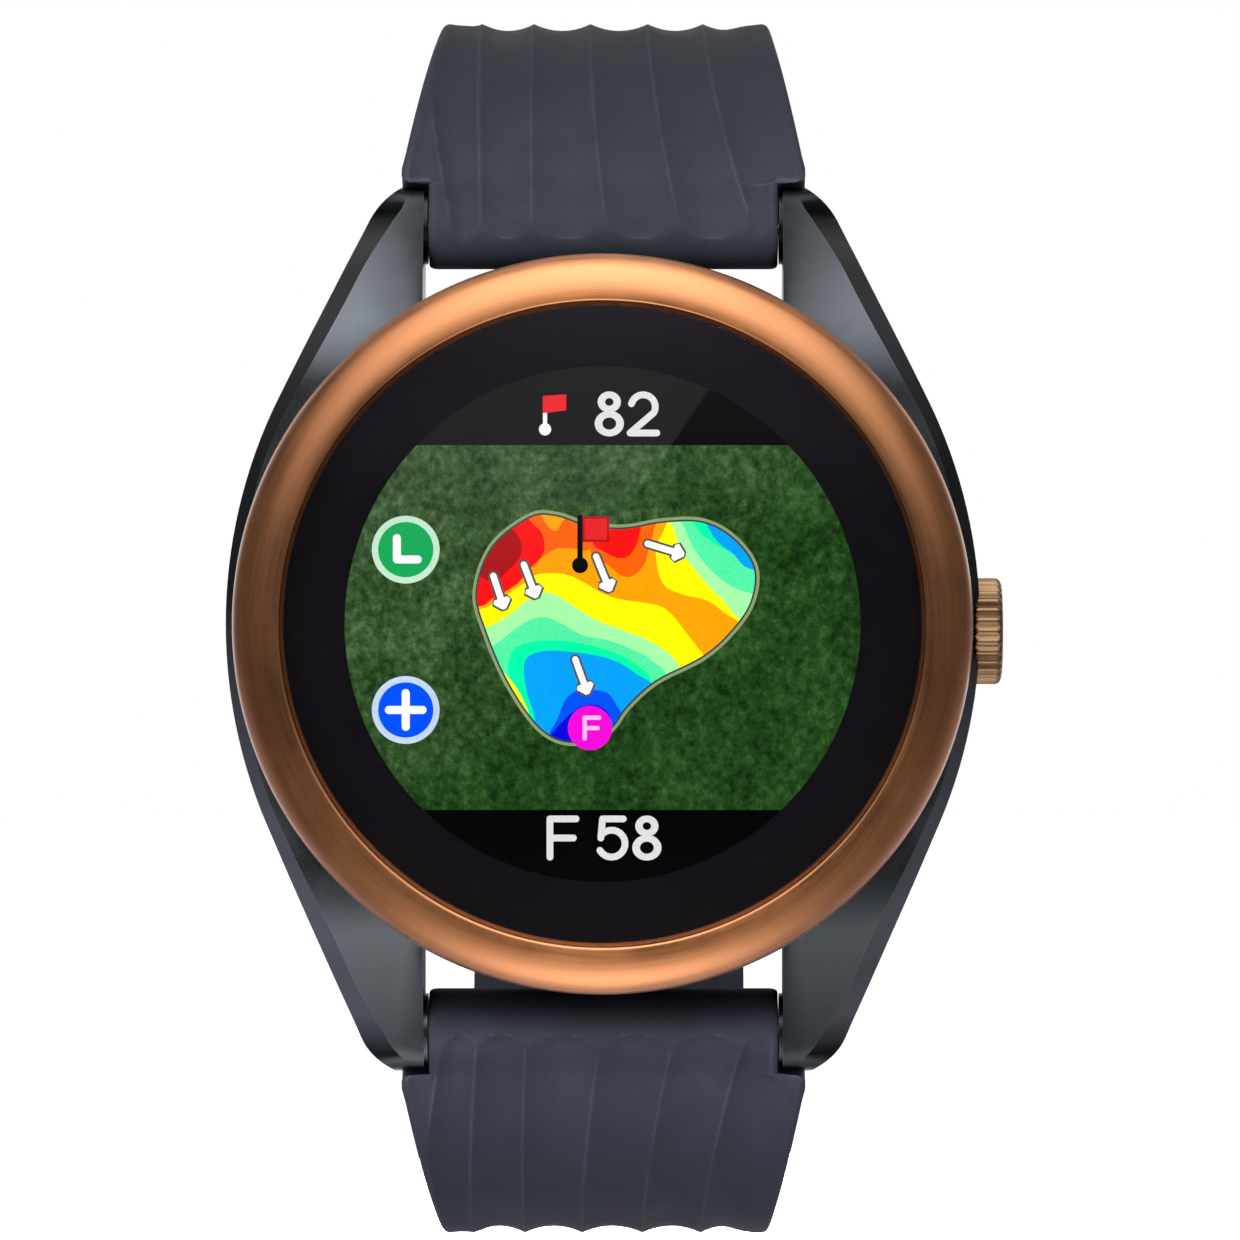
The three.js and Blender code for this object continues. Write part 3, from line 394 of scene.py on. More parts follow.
def strap_shade(n, place, blotch):
    """Painted shade on the rubber: darkest where it turns down away from the watch and where it
    is tucked under the ring; a painted cool tint makes the lower half a little bluer."""
    _, y, z = n.add("SeparateXYZ", {"Vector": place}).outputs
    deep = n.span(n.math("ADD", y, n.math("MULTIPLY", blotch, 3.0 * MM)), -2 * MM, 38 * MM, 0.0, 1.0)
    bend = n.ramp(deep, [(0.0, (1, 1, 1, 1)), (0.28, (0.72, 0.72, 0.72, 1)),
                         (0.52, (0.34, 0.34, 0.34, 1)), (0.9, (0.62, 0.62, 0.62, 1))])
    elsewhere = n.math("MAXIMUM", n.span(z, -10 * MM, 0.0, 0.0, 1.0), n.span(y, 2 * MM, 6 * MM, 0.0, 1.0))
    tucked = n.math("MAXIMUM", n.span(z, -26.2 * MM, -24.0 * MM, 1.0, 0.22), elsewhere)
    # painted cool tint, bluer towards the lower half
    hue = n.mix(n.span(z, -24 * MM, 24 * MM, 0.0, 1.0), srgb(250, 250, 255), srgb(228, 231, 230))
    shadow = n.add("CombineColor", {0: tucked, 1: tucked, 2: tucked}).outputs[0]
    return n.mix(1.0, n.mix(1.0, bend, shadow, "MULTIPLY"), hue, "MULTIPLY")


# ---- Case -------------------------------------------------------------------------------------

def lug_rows(bar_z):
    """Distances from the centre at which a lug is sampled, closer together round its tip."""
    straight = [12.6 + 0.6 * i for i in range(int((bar_z - 12.6) / 0.6) + 1)]
    tip = [bar_z + LUG_TIP_RADIUS * math.sin(math.radians(a)) for a in range(10, 90, 8)]
    return straight + tip + [bar_z + LUG_TIP_RADIUS]


def side_line(bar_z):
    """The straight flank of the case: touch point and direction of the tangent to the side arc."""
    centre = CASE_HALF_WIDTH - SIDE_RADIUS
    corner_x = LUG_CORNER_X[bar_z]
    corner_z = bar_z + LUG_TIP_RADIUS - LUG_CORNER_BACK
    reach = math.hypot(corner_x - centre, corner_z)
    touch = math.atan2(corner_z, corner_x - centre) - math.acos(SIDE_RADIUS / reach)
    start = (centre + SIDE_RADIUS * math.cos(touch), SIDE_RADIUS * math.sin(touch))
    return start, touch


def soft_min(a, b, blend):
    """The smaller of two lengths, rounded off where they cross."""
    share = min(1.0, max(0.0, 0.5 + 0.5 * (b - a) / blend))
    return lerp(b, a, share) - blend * share * (1 - share)


def outer_x(z, bar_z):
    """Half width of the case at a distance z from its centre, chamfered at the lug's corner."""
    start, touch = side_line(bar_z)
    centre = CASE_HALF_WIDTH - SIDE_RADIUS
    if z < start[1]:
        return centre + math.sqrt(SIDE_RADIUS ** 2 - z * z)
    tip_z = bar_z + LUG_TIP_RADIUS
    flank = start[0] - math.tan(touch) * (z - start[1])
    tip_x, corner_x = LUG_TIP_X[bar_z], LUG_CORNER_X[bar_z]
    chamfer = tip_x + (corner_x - tip_x) * (tip_z - z) / LUG_CORNER_BACK
    return soft_min(flank, chamfer, 0.9)


def lug_top(z, bar_z):
    """Height of the upper face: flat under the ring, easing into a slope that rolls over the tip."""
    run, drop = bar_z - SLOPE_START, CASE_TOP - BAR_HEIGHT
    touch = math.atan2(drop, -run) - math.acos(LUG_TIP_RADIUS / math.hypot(run, drop))
    if z > bar_z + LUG_TIP_RADIUS * math.cos(touch):
        rise = min(LUG_TIP_RADIUS, z - bar_z)
        return BAR_HEIGHT + max(HAIR, math.sqrt(LUG_TIP_RADIUS ** 2 - rise ** 2))
    slope = 1 / math.tan(touch)
    ease = 2.2
    past = z - SLOPE_START
    if past < -ease:
        return CASE_TOP
    if past < ease:
        return CASE_TOP - slope * (past + ease) ** 2 / (4 * ease)
    return CASE_TOP - slope * past


def lug_bottom(z, bar_z):
    if z < bar_z:
        return CASE_BOTTOM
    rise = min(LUG_TIP_RADIUS, z - bar_z)
    return BAR_HEIGHT - max(HAIR, math.sqrt(LUG_TIP_RADIUS ** 2 - rise ** 2))


def bevel_width(z):
    """The flank's bevel is narrow beside the ring and widens towards the lug's tip."""
    return lerp(0.8, 1.25, smooth_step(z, 10, 21)) + 0.5 * smooth_step(z, 22, 27)


def inner_width(z):
    """The lug's inner edge is crisp at the ring and softly rounded at the tip."""
    return HAIR + 1.15 * smooth_step(z, 17.5, 26)


def edge_cut(z, bar_z, side, face):
    """(inset, drop) of the bevel along an edge of the case."""
    spent = smooth_step(z, bar_z + 0.6, bar_z + LUG_TIP_RADIUS)
    if face == "bottom":
        width, drop = (0.7, 0.55) if side == "outer" else (HAIR, HAIR)
        return width * (1 - 0.5 * spent), drop * (1 - smooth_step(z, bar_z - 1.5, bar_z + 2))
    room = outer_x(z, bar_z) - LUG_INNER_X - 0.1
    squeeze = min(1.0, room / (bevel_width(z) + inner_width(z))) if z > WALL_RADIUS * 0.8 else 1.0
    if side == "outer":
        drop = min(1.5 * bevel_width(z), 0.85 * (lug_top(z, bar_z) - BAR_HEIGHT))
        return bevel_width(z) * squeeze, drop * (1 - spent)
    return inner_width(z) * squeeze, (HAIR + 0.22 * smooth_step(z, 17.5, 25)) * (1 - spent)


def quarter_outline(bar_z, face, inset):
    """(x, height, z) from 3 o'clock round the lug to the wall between the lugs: the edge of the
    face itself (inset), or the edge that its bevel comes down to."""
    height_of = lug_top if face == "top" else lug_bottom
    down = -1 if face == "top" else 1

    def spot(x, z, side, way):
        width, drop = edge_cut(z, bar_z, side, face)
        shift, fall = (width, 0.0) if inset else (0.0, drop)
        return (x + way * shift, height_of(z, bar_z) + down * fall, z)

    rows = lug_rows(bar_z)
    outside = [spot(outer_x(z, bar_z), z, "outer", -1) for z in [0.9 * i for i in range(14)] + rows]
    inner_x = LUG_INNER_X + (edge_cut(18.5, bar_z, "inner", face)[0] if inset else 0.0)
    wall = WALL_RADIUS - (HAIR if inset else 0.0)
    corner = math.sqrt(wall ** 2 - inner_x ** 2)
    inner = [spot(LUG_INNER_X, z, "inner", 1) for z in reversed(rows) if z > corner + 0.1]
    level = height_of(0, bar_z) + (0.0 if inset else down * HAIR)
    corner_angle = math.degrees(math.atan2(corner, inner_x))
    return outside + inner + [(x, level, z) for x, z in arc(0, 0, wall, corner_angle, 90, 12)]


def case_loop(face, inset):
    """A whole closed edge, from the two quarters on the right and their mirror images."""
    upper = quarter_outline(BAR_UPPER, face, inset)
    lower = quarter_outline(BAR_LOWER, face, inset)
    right = [(x, h, -z) for x, h, z in reversed(lower)][:-1] + upper
    left = [(-x, h, z) for x, h, z in reversed(right)]
    return right + left[1:-1]


def plate(loop, hole_radius, segments, height_of, inner_spots):
    """Triangles between an outline and a round hole, at heights given by height_of."""
    flat = [(x, z) for x, _, z in loop]
    hole = [(hole_radius * math.cos(2 * math.pi * i / segments),
             hole_radius * math.sin(2 * math.pi * i / segments)) for i in range(segments)]
    spots = [Vector(p) for p in flat + hole + inner_spots]
    count, ring = len(flat), len(hole)
    edges = [(i, (i + 1) % count) for i in range(count)]
    edges += [(count + i, count + (i + 1) % ring) for i in range(ring)]
    done, _, triangles, origins, _, _ = delaunay_2d_cdt(spots, edges, [], 0, 1e-6)
    points = []
    for spot, origin in zip(done, origins):
        x, z = spot
        index = min(origin) if origin else None
        if index is not None and index < count:
            height = loop[index][1]
        else:
            height = height_of(abs(z), BAR_UPPER if z > 0 else BAR_LOWER)
        points.append((x, height, z))
    kept = []
    for face in triangles:
        cx = sum(done[i][0] for i in face) / 3
        cz = sum(done[i][1] for i in face) / 3
        if math.hypot(cx, cz) > hole_radius * math.cos(math.pi / segments) * 0.9999 and \
                inside_polygon(cx, cz, flat):
            kept.append(face)
    return points, kept


def inside_polygon(x, z, outline):
    inside = False
    for (x0, z0), (x1, z1) in zip(outline, outline[1:] + outline[:1]):
        if (z0 > z) != (z1 > z) and x < x0 + (z - z0) / (z1 - z0) * (x1 - x0):
            inside = not inside
    return inside


def lug_fill():
    """Points across the lugs' faces, so that their slope bends evenly."""
    spots = []
    for bar_z, side in ((BAR_UPPER, 1), (BAR_LOWER, -1)):
        for z in lug_rows(bar_z)[:-1]:
            outer = outer_x(z, bar_z) - edge_cut(z, bar_z, "outer", "top")[0]
            inner = LUG_INNER_X + edge_cut(z, bar_z, "inner", "top")[0]
            if z < 20.6:
                inner = max(inner, math.sqrt(max(0, 20.9 ** 2 - z * z)))
            steps = int((outer - inner) / 1.1)
            for i in range(1, steps + 1):
                x = lerp(inner, outer, i / (steps + 1))
                if math.hypot(x, z) > 20.9:
                    spots += [(x, side * z), (-x, side * z)]
    return spots


def joined_rings(rings):
    """Quads between neighbouring closed rings of equally many points."""
    faces = grid_faces(len(rings), len(rings[0]))
    return [p for ring in rings for p in ring], faces


def case_body():
    segments = 160
    top_in, top_out = case_loop("top", True), case_loop("top", False)
    low_out, low_in = case_loop("bottom", False), case_loop("bottom", True)
    points, faces = [], []

    def extend(more_points, more_faces):
        base = len(points)
        points.extend(point(*p) for p in more_points)
        faces.extend(tuple(base + i for i in face) for face in more_faces)

    extend(*joined_rings([top_in, top_out, low_out, low_in]))
    extend(*plate(top_in, RECESS_RADIUS, segments, lug_top, lug_fill()))
    extend(*plate(low_in, LOW_CAVITY_RADIUS, segments, lug_bottom, []))
    profile = [(RECESS_RADIUS, CASE_TOP), (RECESS_RADIUS, RECESS_FLOOR),
               (CAVITY_RADIUS, RECESS_FLOOR), (CAVITY_RADIUS, CAVITY_STEP),
               (LOW_CAVITY_RADIUS, CAVITY_STEP), (LOW_CAVITY_RADIUS, CASE_BOTTOM)]
    walls = [[(r * math.cos(2 * math.pi * i / segments), h, r * math.sin(2 * math.pi * i / segments))
              for i in range(segments)] for r, h in profile]
    extend(*joined_rings(walls))
    made = mesh_object("case_body", points, faces, 28)
    bosses = []
    bar_holes = []
    for z in (BAR_UPPER, -BAR_LOWER):
        for side in (1, -1):
            bar = along_x(BAR_HEIGHT, z)
            boss_ends = sorted((side * BOSS_X, side * BOSS_END))
            hole_ends = sorted(side * end for end in BAR_HOLE_ENDS)
            bosses.append(rod("boss", bar, BOSS_RADIUS, *boss_ends))
            bar_holes.append(rod("bar_hole", bar, BAR_HOLE_RADIUS, *hole_ends, 32))
    combine(made, bosses, "UNION", 28)
    crown_axis = along_x(CROWN_HEIGHT, CROWN_Z)
    cutters = [rod("crown_pocket", crown_axis, *CROWN_POCKET.values(), 96),
               rod("tube_hole", crown_axis, *TUBE_HOLE.values(), 48)]
    cutters += bar_holes
    for x, z in screw_places():
        cutters.append(rod("screw_hole", along_height(x, z), 0.56, 0.2, 2.7, 24))
    combine(made, cutters, "DIFFERENCE", 28)
    paint(made, MATERIALS["case_metal"])
    return bind(made, "case", "case_metal", "mid_case")


def screw_places():
    return [(SCREW_RADIUS * math.cos(math.radians(a)), SCREW_RADIUS * math.sin(math.radians(a)))
            for a in SCREW_ANGLES]


# ---- Ring, glass and mask ---------------------------------------------------------------------

def bezel():
    """A broad rounded shoulder that falls outwards from its crest, and a narrow inner lip."""
    crest, widest, top, outer, inner, lip = 20.24, 10.3, 12.6, 23.08, 20.06, 0.14
    shoulder = [(crest + (outer - crest) * math.cos(a), widest + (top - widest) * math.sin(a))
                for a in [math.radians(90 * i / 32) for i in range(33)]]
    inside = [(crest - (crest - inner) * math.sin(a), top - lip + lip * math.cos(a))
              for a in [math.radians(90 * i / 10) for i in range(1, 11)]]
    profile = [(19.0, 8.25), (20.2, 8.25), (20.2, 9.35), (outer - 0.6, 9.35),
               (outer - 0.3, 9.42), (outer - 0.1, 9.65), (outer - 0.02, 9.95)]
    profile += shoulder + inside + [(inner, 10.3), (19.0, 10.3)]
    made = turned("bezel_ring_turned", profile, on_watch_axis, 256)
    paint(made, MATERIALS["ring_copper"])
    return bind(made, "case", "ring_copper", "bezel_ring")


def crystal():
    chamfer = arc(19.72, 11.75, 0.2, 0, 90, 5)
    profile = [(0, 10.72), (19.8, 10.72), (19.92, 10.84)] + chamfer + [(0, 11.95)]
    made = turned("crystal", profile, on_watch_axis, 192)
    paint(made, MATERIALS["cover_glass"])
    return bind(made, "case", "cover_glass", "cover_glass")


def printed_border():
    edge = 0.006
    profile = [(DISPLAY_RADIUS, 10.66), (18.9, 10.66), (19.86, 10.68), (19.86, 10.70),
               (DISPLAY_RADIUS + edge, 10.70), (DISPLAY_RADIUS, 10.70 - edge)]
    made = turned("printed_border", profile, on_watch_axis, 192)
    paint(made, MATERIALS["mask_ink"])
    return bind(made, "case", "mask_ink", "border_mask")


# ---- Display picture --------------------------------------------------------------------------
# The picture is one thin plate. Its shapes are listed from back to front, each with a colour; the
# plate is divided along all their outlines, and each piece takes the colour of its front shape.

def disc(x, z, radius, steps=56):
    return arc(x, z, radius, 0, 360 * (steps - 1) / steps, steps - 1)


def rectangle(x0, x1, z0, z1):
    return [(x0, z0), (x1, z0), (x1, z1), (x0, z1)]


def rounded(points, steps=6):
    """A smooth closed curve through the points (Catmull-Rom)."""
    count = len(points)
    curve = []
    for i in range(count):
        a, b, c, d = (Vector(points[(i + k) % count]) for k in (-1, 0, 1, 2))
        for step in range(steps):
            t = step / steps
            spot = 0.5 * (2 * b + (c - a) * t + (2 * a - 5 * b + 4 * c - d) * t * t
                          + (3 * b - a - 3 * c + d) * t ** 3)
            curve.append(tuple(spot))
    return curve


def anticlockwise(outline):
    turn = sum(x0 * z1 - x1 * z0 for (x0, z0), (x1, z1) in
               zip(outline, outline[1:] + outline[:1]))
    return outline if turn > 0 else outline[::-1]


def widened(outline, by):
    """A closed curve moved outwards by a distance."""
    outline = anticlockwise(outline)
    moved = []
    for i, (x, z) in enumerate(outline):
        before, after = Vector(outline[i - 1]), Vector(outline[(i + 1) % len(outline)])
        along = (after - before).normalized()
        moved.append((x + by * along.y, z - by * along.x))
    return moved


def stroke(path, width):
    """A pen line of one width with round ends along an open path."""
    half = width / 2
    spots = [Vector(p) for p in path]
    left, right = [], []
    for i, spot in enumerate(spots):
        before, after = spots[max(0, i - 1)], spots[min(len(spots) - 1, i + 1)]
        along = (after - before).normalized()
        across = Vector((-along.y, along.x))
        left.append(tuple(spot + across * half))
        right.append(tuple(spot - across * half))

    def cap(centre, direction):
        base = math.degrees(math.atan2(direction.y, direction.x))
        return arc(centre.x, centre.y, half, base + 90, base - 90, 8)[1:-1]

    end = cap(spots[-1], spots[-1] - spots[-2])
    start = cap(spots[0], spots[0] - spots[1])
    return left + end + right[::-1] + start


def arrow(tail, tip, grow=0.0):
    """A round-ended shaft and a small rounded head, each grown by a margin."""
    start, end = Vector(tail), Vector(tip)
    along = (end - start).normalized()
    across = Vector((-along.y, along.x))
    neck = end - along * 0.62
    shaft = stroke([start, neck], 0.40 + 2 * grow)
    corners = [neck + across * 0.5, end - along * 0.08, neck - across * 0.5]
    head = [spot for a, b in zip(corners, corners[1:] + corners[:1])
            for spot in (a.lerp(b, 0.08), a.lerp(b, 0.5), a.lerp(b, 0.92))]
    return [shaft, widened([tuple(p) for p in head], 0.12 + grow)]


def digit_eight(x, z, height, ink, paper, pen):
    """Two stacked rings, the lower one larger."""
    low, high = 0.27 * height + pen * 0.1, 0.235 * height
    centres = [(z + low, low, 1.14), (z + height - high, high, 1.1)]
    shapes = []
    for centre, radius, wide in centres:
        ring = [(x + (px - x) * wide, pz) for px, pz in disc(x, centre, radius, 40)]
        shapes.append((ring, ink))
    for centre, radius, wide in centres:
        inner = radius - pen
        hole = [(x + (px - x) * wide, pz) for px, pz in disc(x, centre, inner, 32)]
        shapes.append((hole, paper))
    return shapes


def digit_two(x, z, height, pen):
    half = pen / 2
    radius = 0.27 * height
    top = arc(x, z + height - radius - half, radius, 165, -28, 14)
    path = top + [(x - radius * 1.08, z + half)]
    foot = [(x - radius * 1.08, z + half), (x + radius * 1.12, z + half)]
    return [stroke(path, pen), stroke(foot, pen)]


def digit_five(x, z, height, pen):
    half = pen / 2
    radius = 0.30 * height
    bowl = arc(x - 0.02 * height, z + radius + half, radius, 128, -150, 18)
    back = [(x - 0.22 * height, z + height - half), (x - 0.26 * height, z + 0.50 * height)]
    bar = [(x - 0.22 * height, z + height - half), (x + 0.24 * height, z + height - half)]
    return [stroke(bowl, pen), stroke(back, pen), stroke(bar, pen)]


def letter_f(x, z, height, pen):
    half = pen / 2
    left = x - 0.24 * height
    return [
        stroke([(left, z + half), (left, z + height - half)], pen),
        stroke([(left, z + height - half), (left + 0.58 * height, z + height - half)], pen),
        stroke([(left, z + 0.5 * height), (left + 0.52 * height, z + 0.5 * height)], pen),
    ]


SCREEN = {
    "black": (0, 0, 1), "turf": None, "light": (222, 224, 224), "white": (250, 250, 250),
    "flag_red": (232, 32, 38), "rim_green": (196, 232, 205), "button_green": (16, 168, 86),
    "rim_blue": (196, 214, 242), "button_blue": (0, 80, 250), "fringe": (142, 158, 110),
    "edge_shade": (48, 70, 70), "yellow": (255, 255, 4), "orange": (255, 165, 4),
    "orange_red": (255, 100, 8), "red": (254, 18, 18), "dark_red": (174, 18, 22),
    "pale_green": (168, 255, 170), "mint": (84, 245, 168), "cyan": (4, 255, 170),
    "sky_blue": (4, 164, 255), "blue": (0, 84, 250), "dark_blue": (4, 8, 220),
    "magenta": (248, 8, 220), "pink": (255, 196, 250), "grey": (84, 84, 84),
}

GREEN_OUTLINE = [
    (-4.5, 6.6), (-2.9, 6.7), (-1.0, 6.1), (1.3, 5.9), (3.8, 6.3), (6.2, 6.3), (8.1, 5.3),
    (9.4, 3.5), (9.2, 1.4), (8.0, -0.4), (6.2, -2.0), (3.3, -3.5), (1.5, -5.1), (0.3, -6.6),
    (-1.8, -7.3), (-3.8, -6.5), (-5.8, -3.7), (-7.2, -0.5), (-7.8, 2.0), (-6.8, 4.8),
]

# Bands of slope on the green, from back to front. Each runs off the green, and is cut by it.
SLOPE_BANDS = [
    ("orange", [(3.2, 7.5), (3.3, 4.5), (3.7, 2.6), (4.8, 1.9), (6.4, 1.5), (7.6, 0.7),
                (8.7, -0.4), (7.0, -2.7), (6.2, -1.8), (5.1, -0.4), (4.3, 0.6), (3.3, 1.2),
                (0.5, 1.7), (-2.0, 3.0), (-4.0, 3.1), (-5.1, 2.4), (-7.7, 0.9), (-9.5, 2.0),
                (-8.5, 7.5)]),
    ("orange_red", [(-4.4, 7.4), (-3.5, 6.2), (-2.9, 5.8), (-2.4, 6.5), (-1.4, 7.4), (-0.6, 5.6),
                    (-0.9, 4.6), (-1.8, 4.7), (-2.8, 4.7), (-3.7, 4.2), (-4.5, 3.5), (-5.3, 5.0)]),
    ("orange_red", [(-0.8, 7.2), (3.4, 7.4), (3.2, 5.9), (2.9, 4.8), (2.6, 3.7), (1.9, 3.0),
                    (1.2, 3.0), (0.3, 3.7), (-0.7, 4.4)]),
    ("red", [(-5.4, 7.6), (-4.5, 6.4), (-3.8, 5.7), (-3.6, 4.9), (-3.8, 4.2), (-4.5, 3.5),
             (-5.2, 2.6), (-5.9, 2.1), (-6.8, 1.6), (-7.7, 1.1), (-9.5, 1.6), (-9.0, 6.5)]),
    ("dark_red", [(-6.6, 6.8), (-5.6, 5.9), (-5.1, 5.2), (-5.1, 4.3), (-5.8, 3.4), (-6.7, 2.7),
                  (-7.5, 2.9), (-9.0, 3.9)]),
    ("red", [(-0.5, 6.2), (1.2, 6.6), (2.3, 6.3), (2.2, 5.2), (1.7, 4.3), (1.0, 4.1),
             (0.1, 4.5), (-0.6, 5.0)]),
    ("pale_green", [(4.2, 7.6), (4.5, 5.8), (4.8, 4.8), (5.5, 3.7), (6.5, 2.5), (7.5, 1.5),
                    (8.8, 0.2), (11.0, 0.6), (10.5, 7.2)]),
    ("mint", [(4.8, 7.6), (5.2, 5.8), (5.7, 4.7), (6.6, 3.5), (7.8, 2.5), (9.3, 1.9),
              (11.0, 2.0), (10.5, 7.0)]),
    ("cyan", [(5.6, 7.6), (5.9, 5.9), (6.7, 5.2), (8.0, 4.4), (9.2, 3.8), (10.6, 4.0),
              (9.5, 7.0)]),
    ("sky_blue", [(6.4, 7.0), (6.7, 5.8), (7.3, 5.0), (8.1, 4.4), (9.0, 3.5), (10.4, 3.6),
                  (9.2, 7.0)]),
    ("pale_green", [(-9.0, -0.8), (-7.2, -0.2), (-5.9, 0.5), (-4.8, 1.4), (-3.8, 1.9),
                    (-2.9, 1.8), (-1.8, 1.1), (-0.5, 0.3), (1.0, -0.3), (2.6, -0.9),
                    (3.8, -1.6), (4.6, -2.4), (5.0, -4.2), (2.6, -8.8), (-8.9, -8.8)]),
    ("mint", [(-8.6, -2.9), (-6.3, -1.0), (-5.3, -0.2), (-4.4, 0.3), (-3.5, 0.4), (-2.5, 0.0),
              (-1.2, -0.7), (0.3, -1.0), (1.9, -1.6), (3.1, -2.3), (4.0, -3.7), (2.6, -8.8),
              (-5.2, -8.8), (-6.6, -4.5)]),
    ("cyan", [(-5.9, -2.7), (-5.6, -1.7), (-4.8, -1.2), (-3.2, -1.0), (-1.2, -1.2), (0.5, -1.7),
              (1.9, -2.4), (3.1, -3.9), (2.6, -8.8), (-4.3, -8.8), (-4.7, -5.5), (-5.6, -4.0)]),
    ("sky_blue", [(-4.9, -2.9), (-4.7, -2.1), (-3.8, -1.7), (-2.3, -1.7), (-0.7, -1.9),
                  (0.8, -2.3), (2.1, -3.1), (3.4, -4.4), (2.6, -8.8), (-4.0, -8.8),
                  (-4.2, -6.0), (-4.7, -4.3)]),
    ("blue", [(-3.4, -7.2), (-2.8, -5.9), (-2.3, -4.7), (-1.5, -4.1), (-0.6, -4.1), (0.3, -4.3),
              (0.9, -5.1), (1.5, -6.4), (0.8, -8.4), (-2.8, -8.4)]),
    ("dark_blue", [(-3.3, -7.2), (-2.8, -6.4), (-2.0, -5.6), (-1.2, -5.1), (-0.2, -5.1),
                   (0.5, -6.0), (0.0, -8.4), (-2.8, -8.4)]),
    ("yellow", [(-6.5, -2.9), (-5.8, -3.4), (-5.1, -4.4), (-4.6, -5.7), (-5.6, -5.6)]),
]

ARROWS = [
    ((-6.8, 3.0), (-6.1, 0.9)), ((-4.9, 3.7), (-4.1, 1.6)), ((-0.4, 4.2), (0.5, 2.0)),
    ((2.8, 5.0), (5.1, 4.3)), ((-1.7, -2.2), (-0.9, -4.4)),
]


def picture_shapes():
    """(outline, colour, only on the green) from back to front."""
    shapes = [
        (disc(0, 0, 16.4, 128), "turf", False),
        (rectangle(-17, 17, 11.13, 17), "black", False),
        (rectangle(-17, 17, -17, -11.57), "black", False),
    ]

    def draw(colour, *outlines):
        shapes.extend((outline, colour, False) for outline in outlines)

    pen, tall = 0.42, 2.8
    for x, z, letters in ((0.42, 11.68, "8"), (2.76, -14.72, "8")):
        for outline, colour in digit_eight(x, z, tall, "light", "black", pen):
            draw(colour, outline)
    draw("light", *digit_two(2.53, 11.68, tall, pen))
    draw("light", *digit_five(0.62, -14.72, tall, pen))
    draw("light", *letter_f(-2.60, -14.72, tall, pen))

    draw("white", stroke([(-3.58, 13.9), (-3.58, 12.3)], 0.26), disc(-3.58, 12.12, 0.38, 32))
    draw("flag_red", [(-3.72, 14.2), (-2.26, 14.3), (-2.26, 13.3), (-3.72, 13.12)])

    for z, rim, face in ((4.63, "rim_green", "button_green"), (-5.35, "rim_blue", "button_blue")):
        draw(rim, disc(-12.25, z, 2.11))
        draw(face, disc(-12.25, z, 1.72))
    draw("white", stroke([(-12.8, 5.35), (-12.8, 4.02)], 0.5),
         stroke([(-12.8, 4.02), (-11.5, 4.02)], 0.5))
    draw("white", stroke([(-13.3, -5.35), (-11.2, -5.35)], 0.5))
    draw("white", stroke([(-12.25, -4.3), (-12.25, -6.4)], 0.5))

    green = rounded(GREEN_OUTLINE)
    draw("fringe", widened(green, 0.30))
    draw("edge_shade", widened(green, 0.11))
    draw("yellow", green)
    for colour, band in SLOPE_BANDS:
        shapes.append((rounded(band, 5), colour, True))

    draw("black", stroke([(-1.4, 6.65), (-1.4, 3.7)], 0.34), disc(-1.4, 3.66, 0.50, 32))
    draw("dark_red", rectangle(-1.24, 0.42, 5.1, 6.7))
    draw("flag_red", rectangle(-1.12, 0.28, 5.26, 6.56))
    for tail, tip in ARROWS:
        draw("grey", *arrow(tail, tip, 0.13))
        draw("white", *arrow(tail, tip))
    draw("magenta", disc(-0.78, -6.47, 1.38))
    draw("pink", *letter_f(-0.74, -7.25, 1.55, 0.26))
    return shapes


def display_picture():
    shapes = picture_shapes()
    spots, loops = [], []
    for outline, _, _ in shapes:
        loops.append(list(range(len(spots), len(spots) + len(outline))))
        spots += [Vector(p) for p in anticlockwise(outline)]
    green = next(i for i, shape in enumerate(shapes) if shape[1] == "yellow")
    done, _, triangles, _, _, owners = delaunay_2d_cdt(spots, [], loops, 1, 1e-5)
    colours = list(SCREEN)
    top, thick = 10.48, 0.06
    faces, slots = [], []
    for face, owner in zip(triangles, owners):
        inside = set(owner)
        if 0 not in inside:
            continue
        shown = [i for i in inside if not shapes[i][2] or green in inside]
        faces.append(tuple(face))
        slots.append(colours.index(shapes[max(shown)][1]))
    front = [point(x, top, z) for x, z in done]
    back = [point(x, top - thick, z) for x, z in done]
    used = sorted({i for face in faces for i in face})
    number = {old: new for new, old in enumerate(used)}
    faces = [tuple(number[i] for i in face) for face in faces]
    count = len(used)
    edge_use = {}
    for face in faces:
        for a, b in zip(face, face[1:] + face[:1]):
            edge_use[(a, b)] = edge_use.get((a, b), 0) + 1
    rim = [(a, b) for a, b in edge_use if (b, a) not in edge_use]
    all_faces = faces + [tuple(i + count for i in reversed(face)) for face in faces]
    all_faces += [(b, a, a + count, b + count) for a, b in rim]
    all_slots = slots + slots + [0] * len(rim)
    mesh = bpy.data.meshes.new("display_picture")
    mesh.from_pydata([front[i] for i in used] + [back[i] for i in used], [], all_faces)
    for colour in colours:
        mesh.materials.append(MATERIALS["screen_" + colour])
    mesh.polygons.foreach_set("material_index", all_slots)
    made = bpy.data.objects.new("display_picture", mesh)
    bpy.context.scene.collection.objects.link(made)
    return bind(made, "case", "screen", "touch_sensor")


def window_glare(n, place):
    """A painted reflection: a faint slanting glare added to the picture's glow over its upper left."""
    x, _, z = n.add("SeparateXYZ", {"Vector": place}).outputs
    slant = n.math("ADD", n.math("MULTIPLY", z, 0.68), -3.3 * MM)
    edge = n.span(n.math("SUBTRACT", slant, x), -0.1 * MM, 0.1 * MM, 0.0, 1.0)
    fade = n.span(z, 1.5 * MM, 9.0 * MM, 0.0, 0.011)
    level = n.math("MULTIPLY", edge, fade)
    return n.add("CombineColor", {0: level, 1: level, 2: level}).outputs[0]


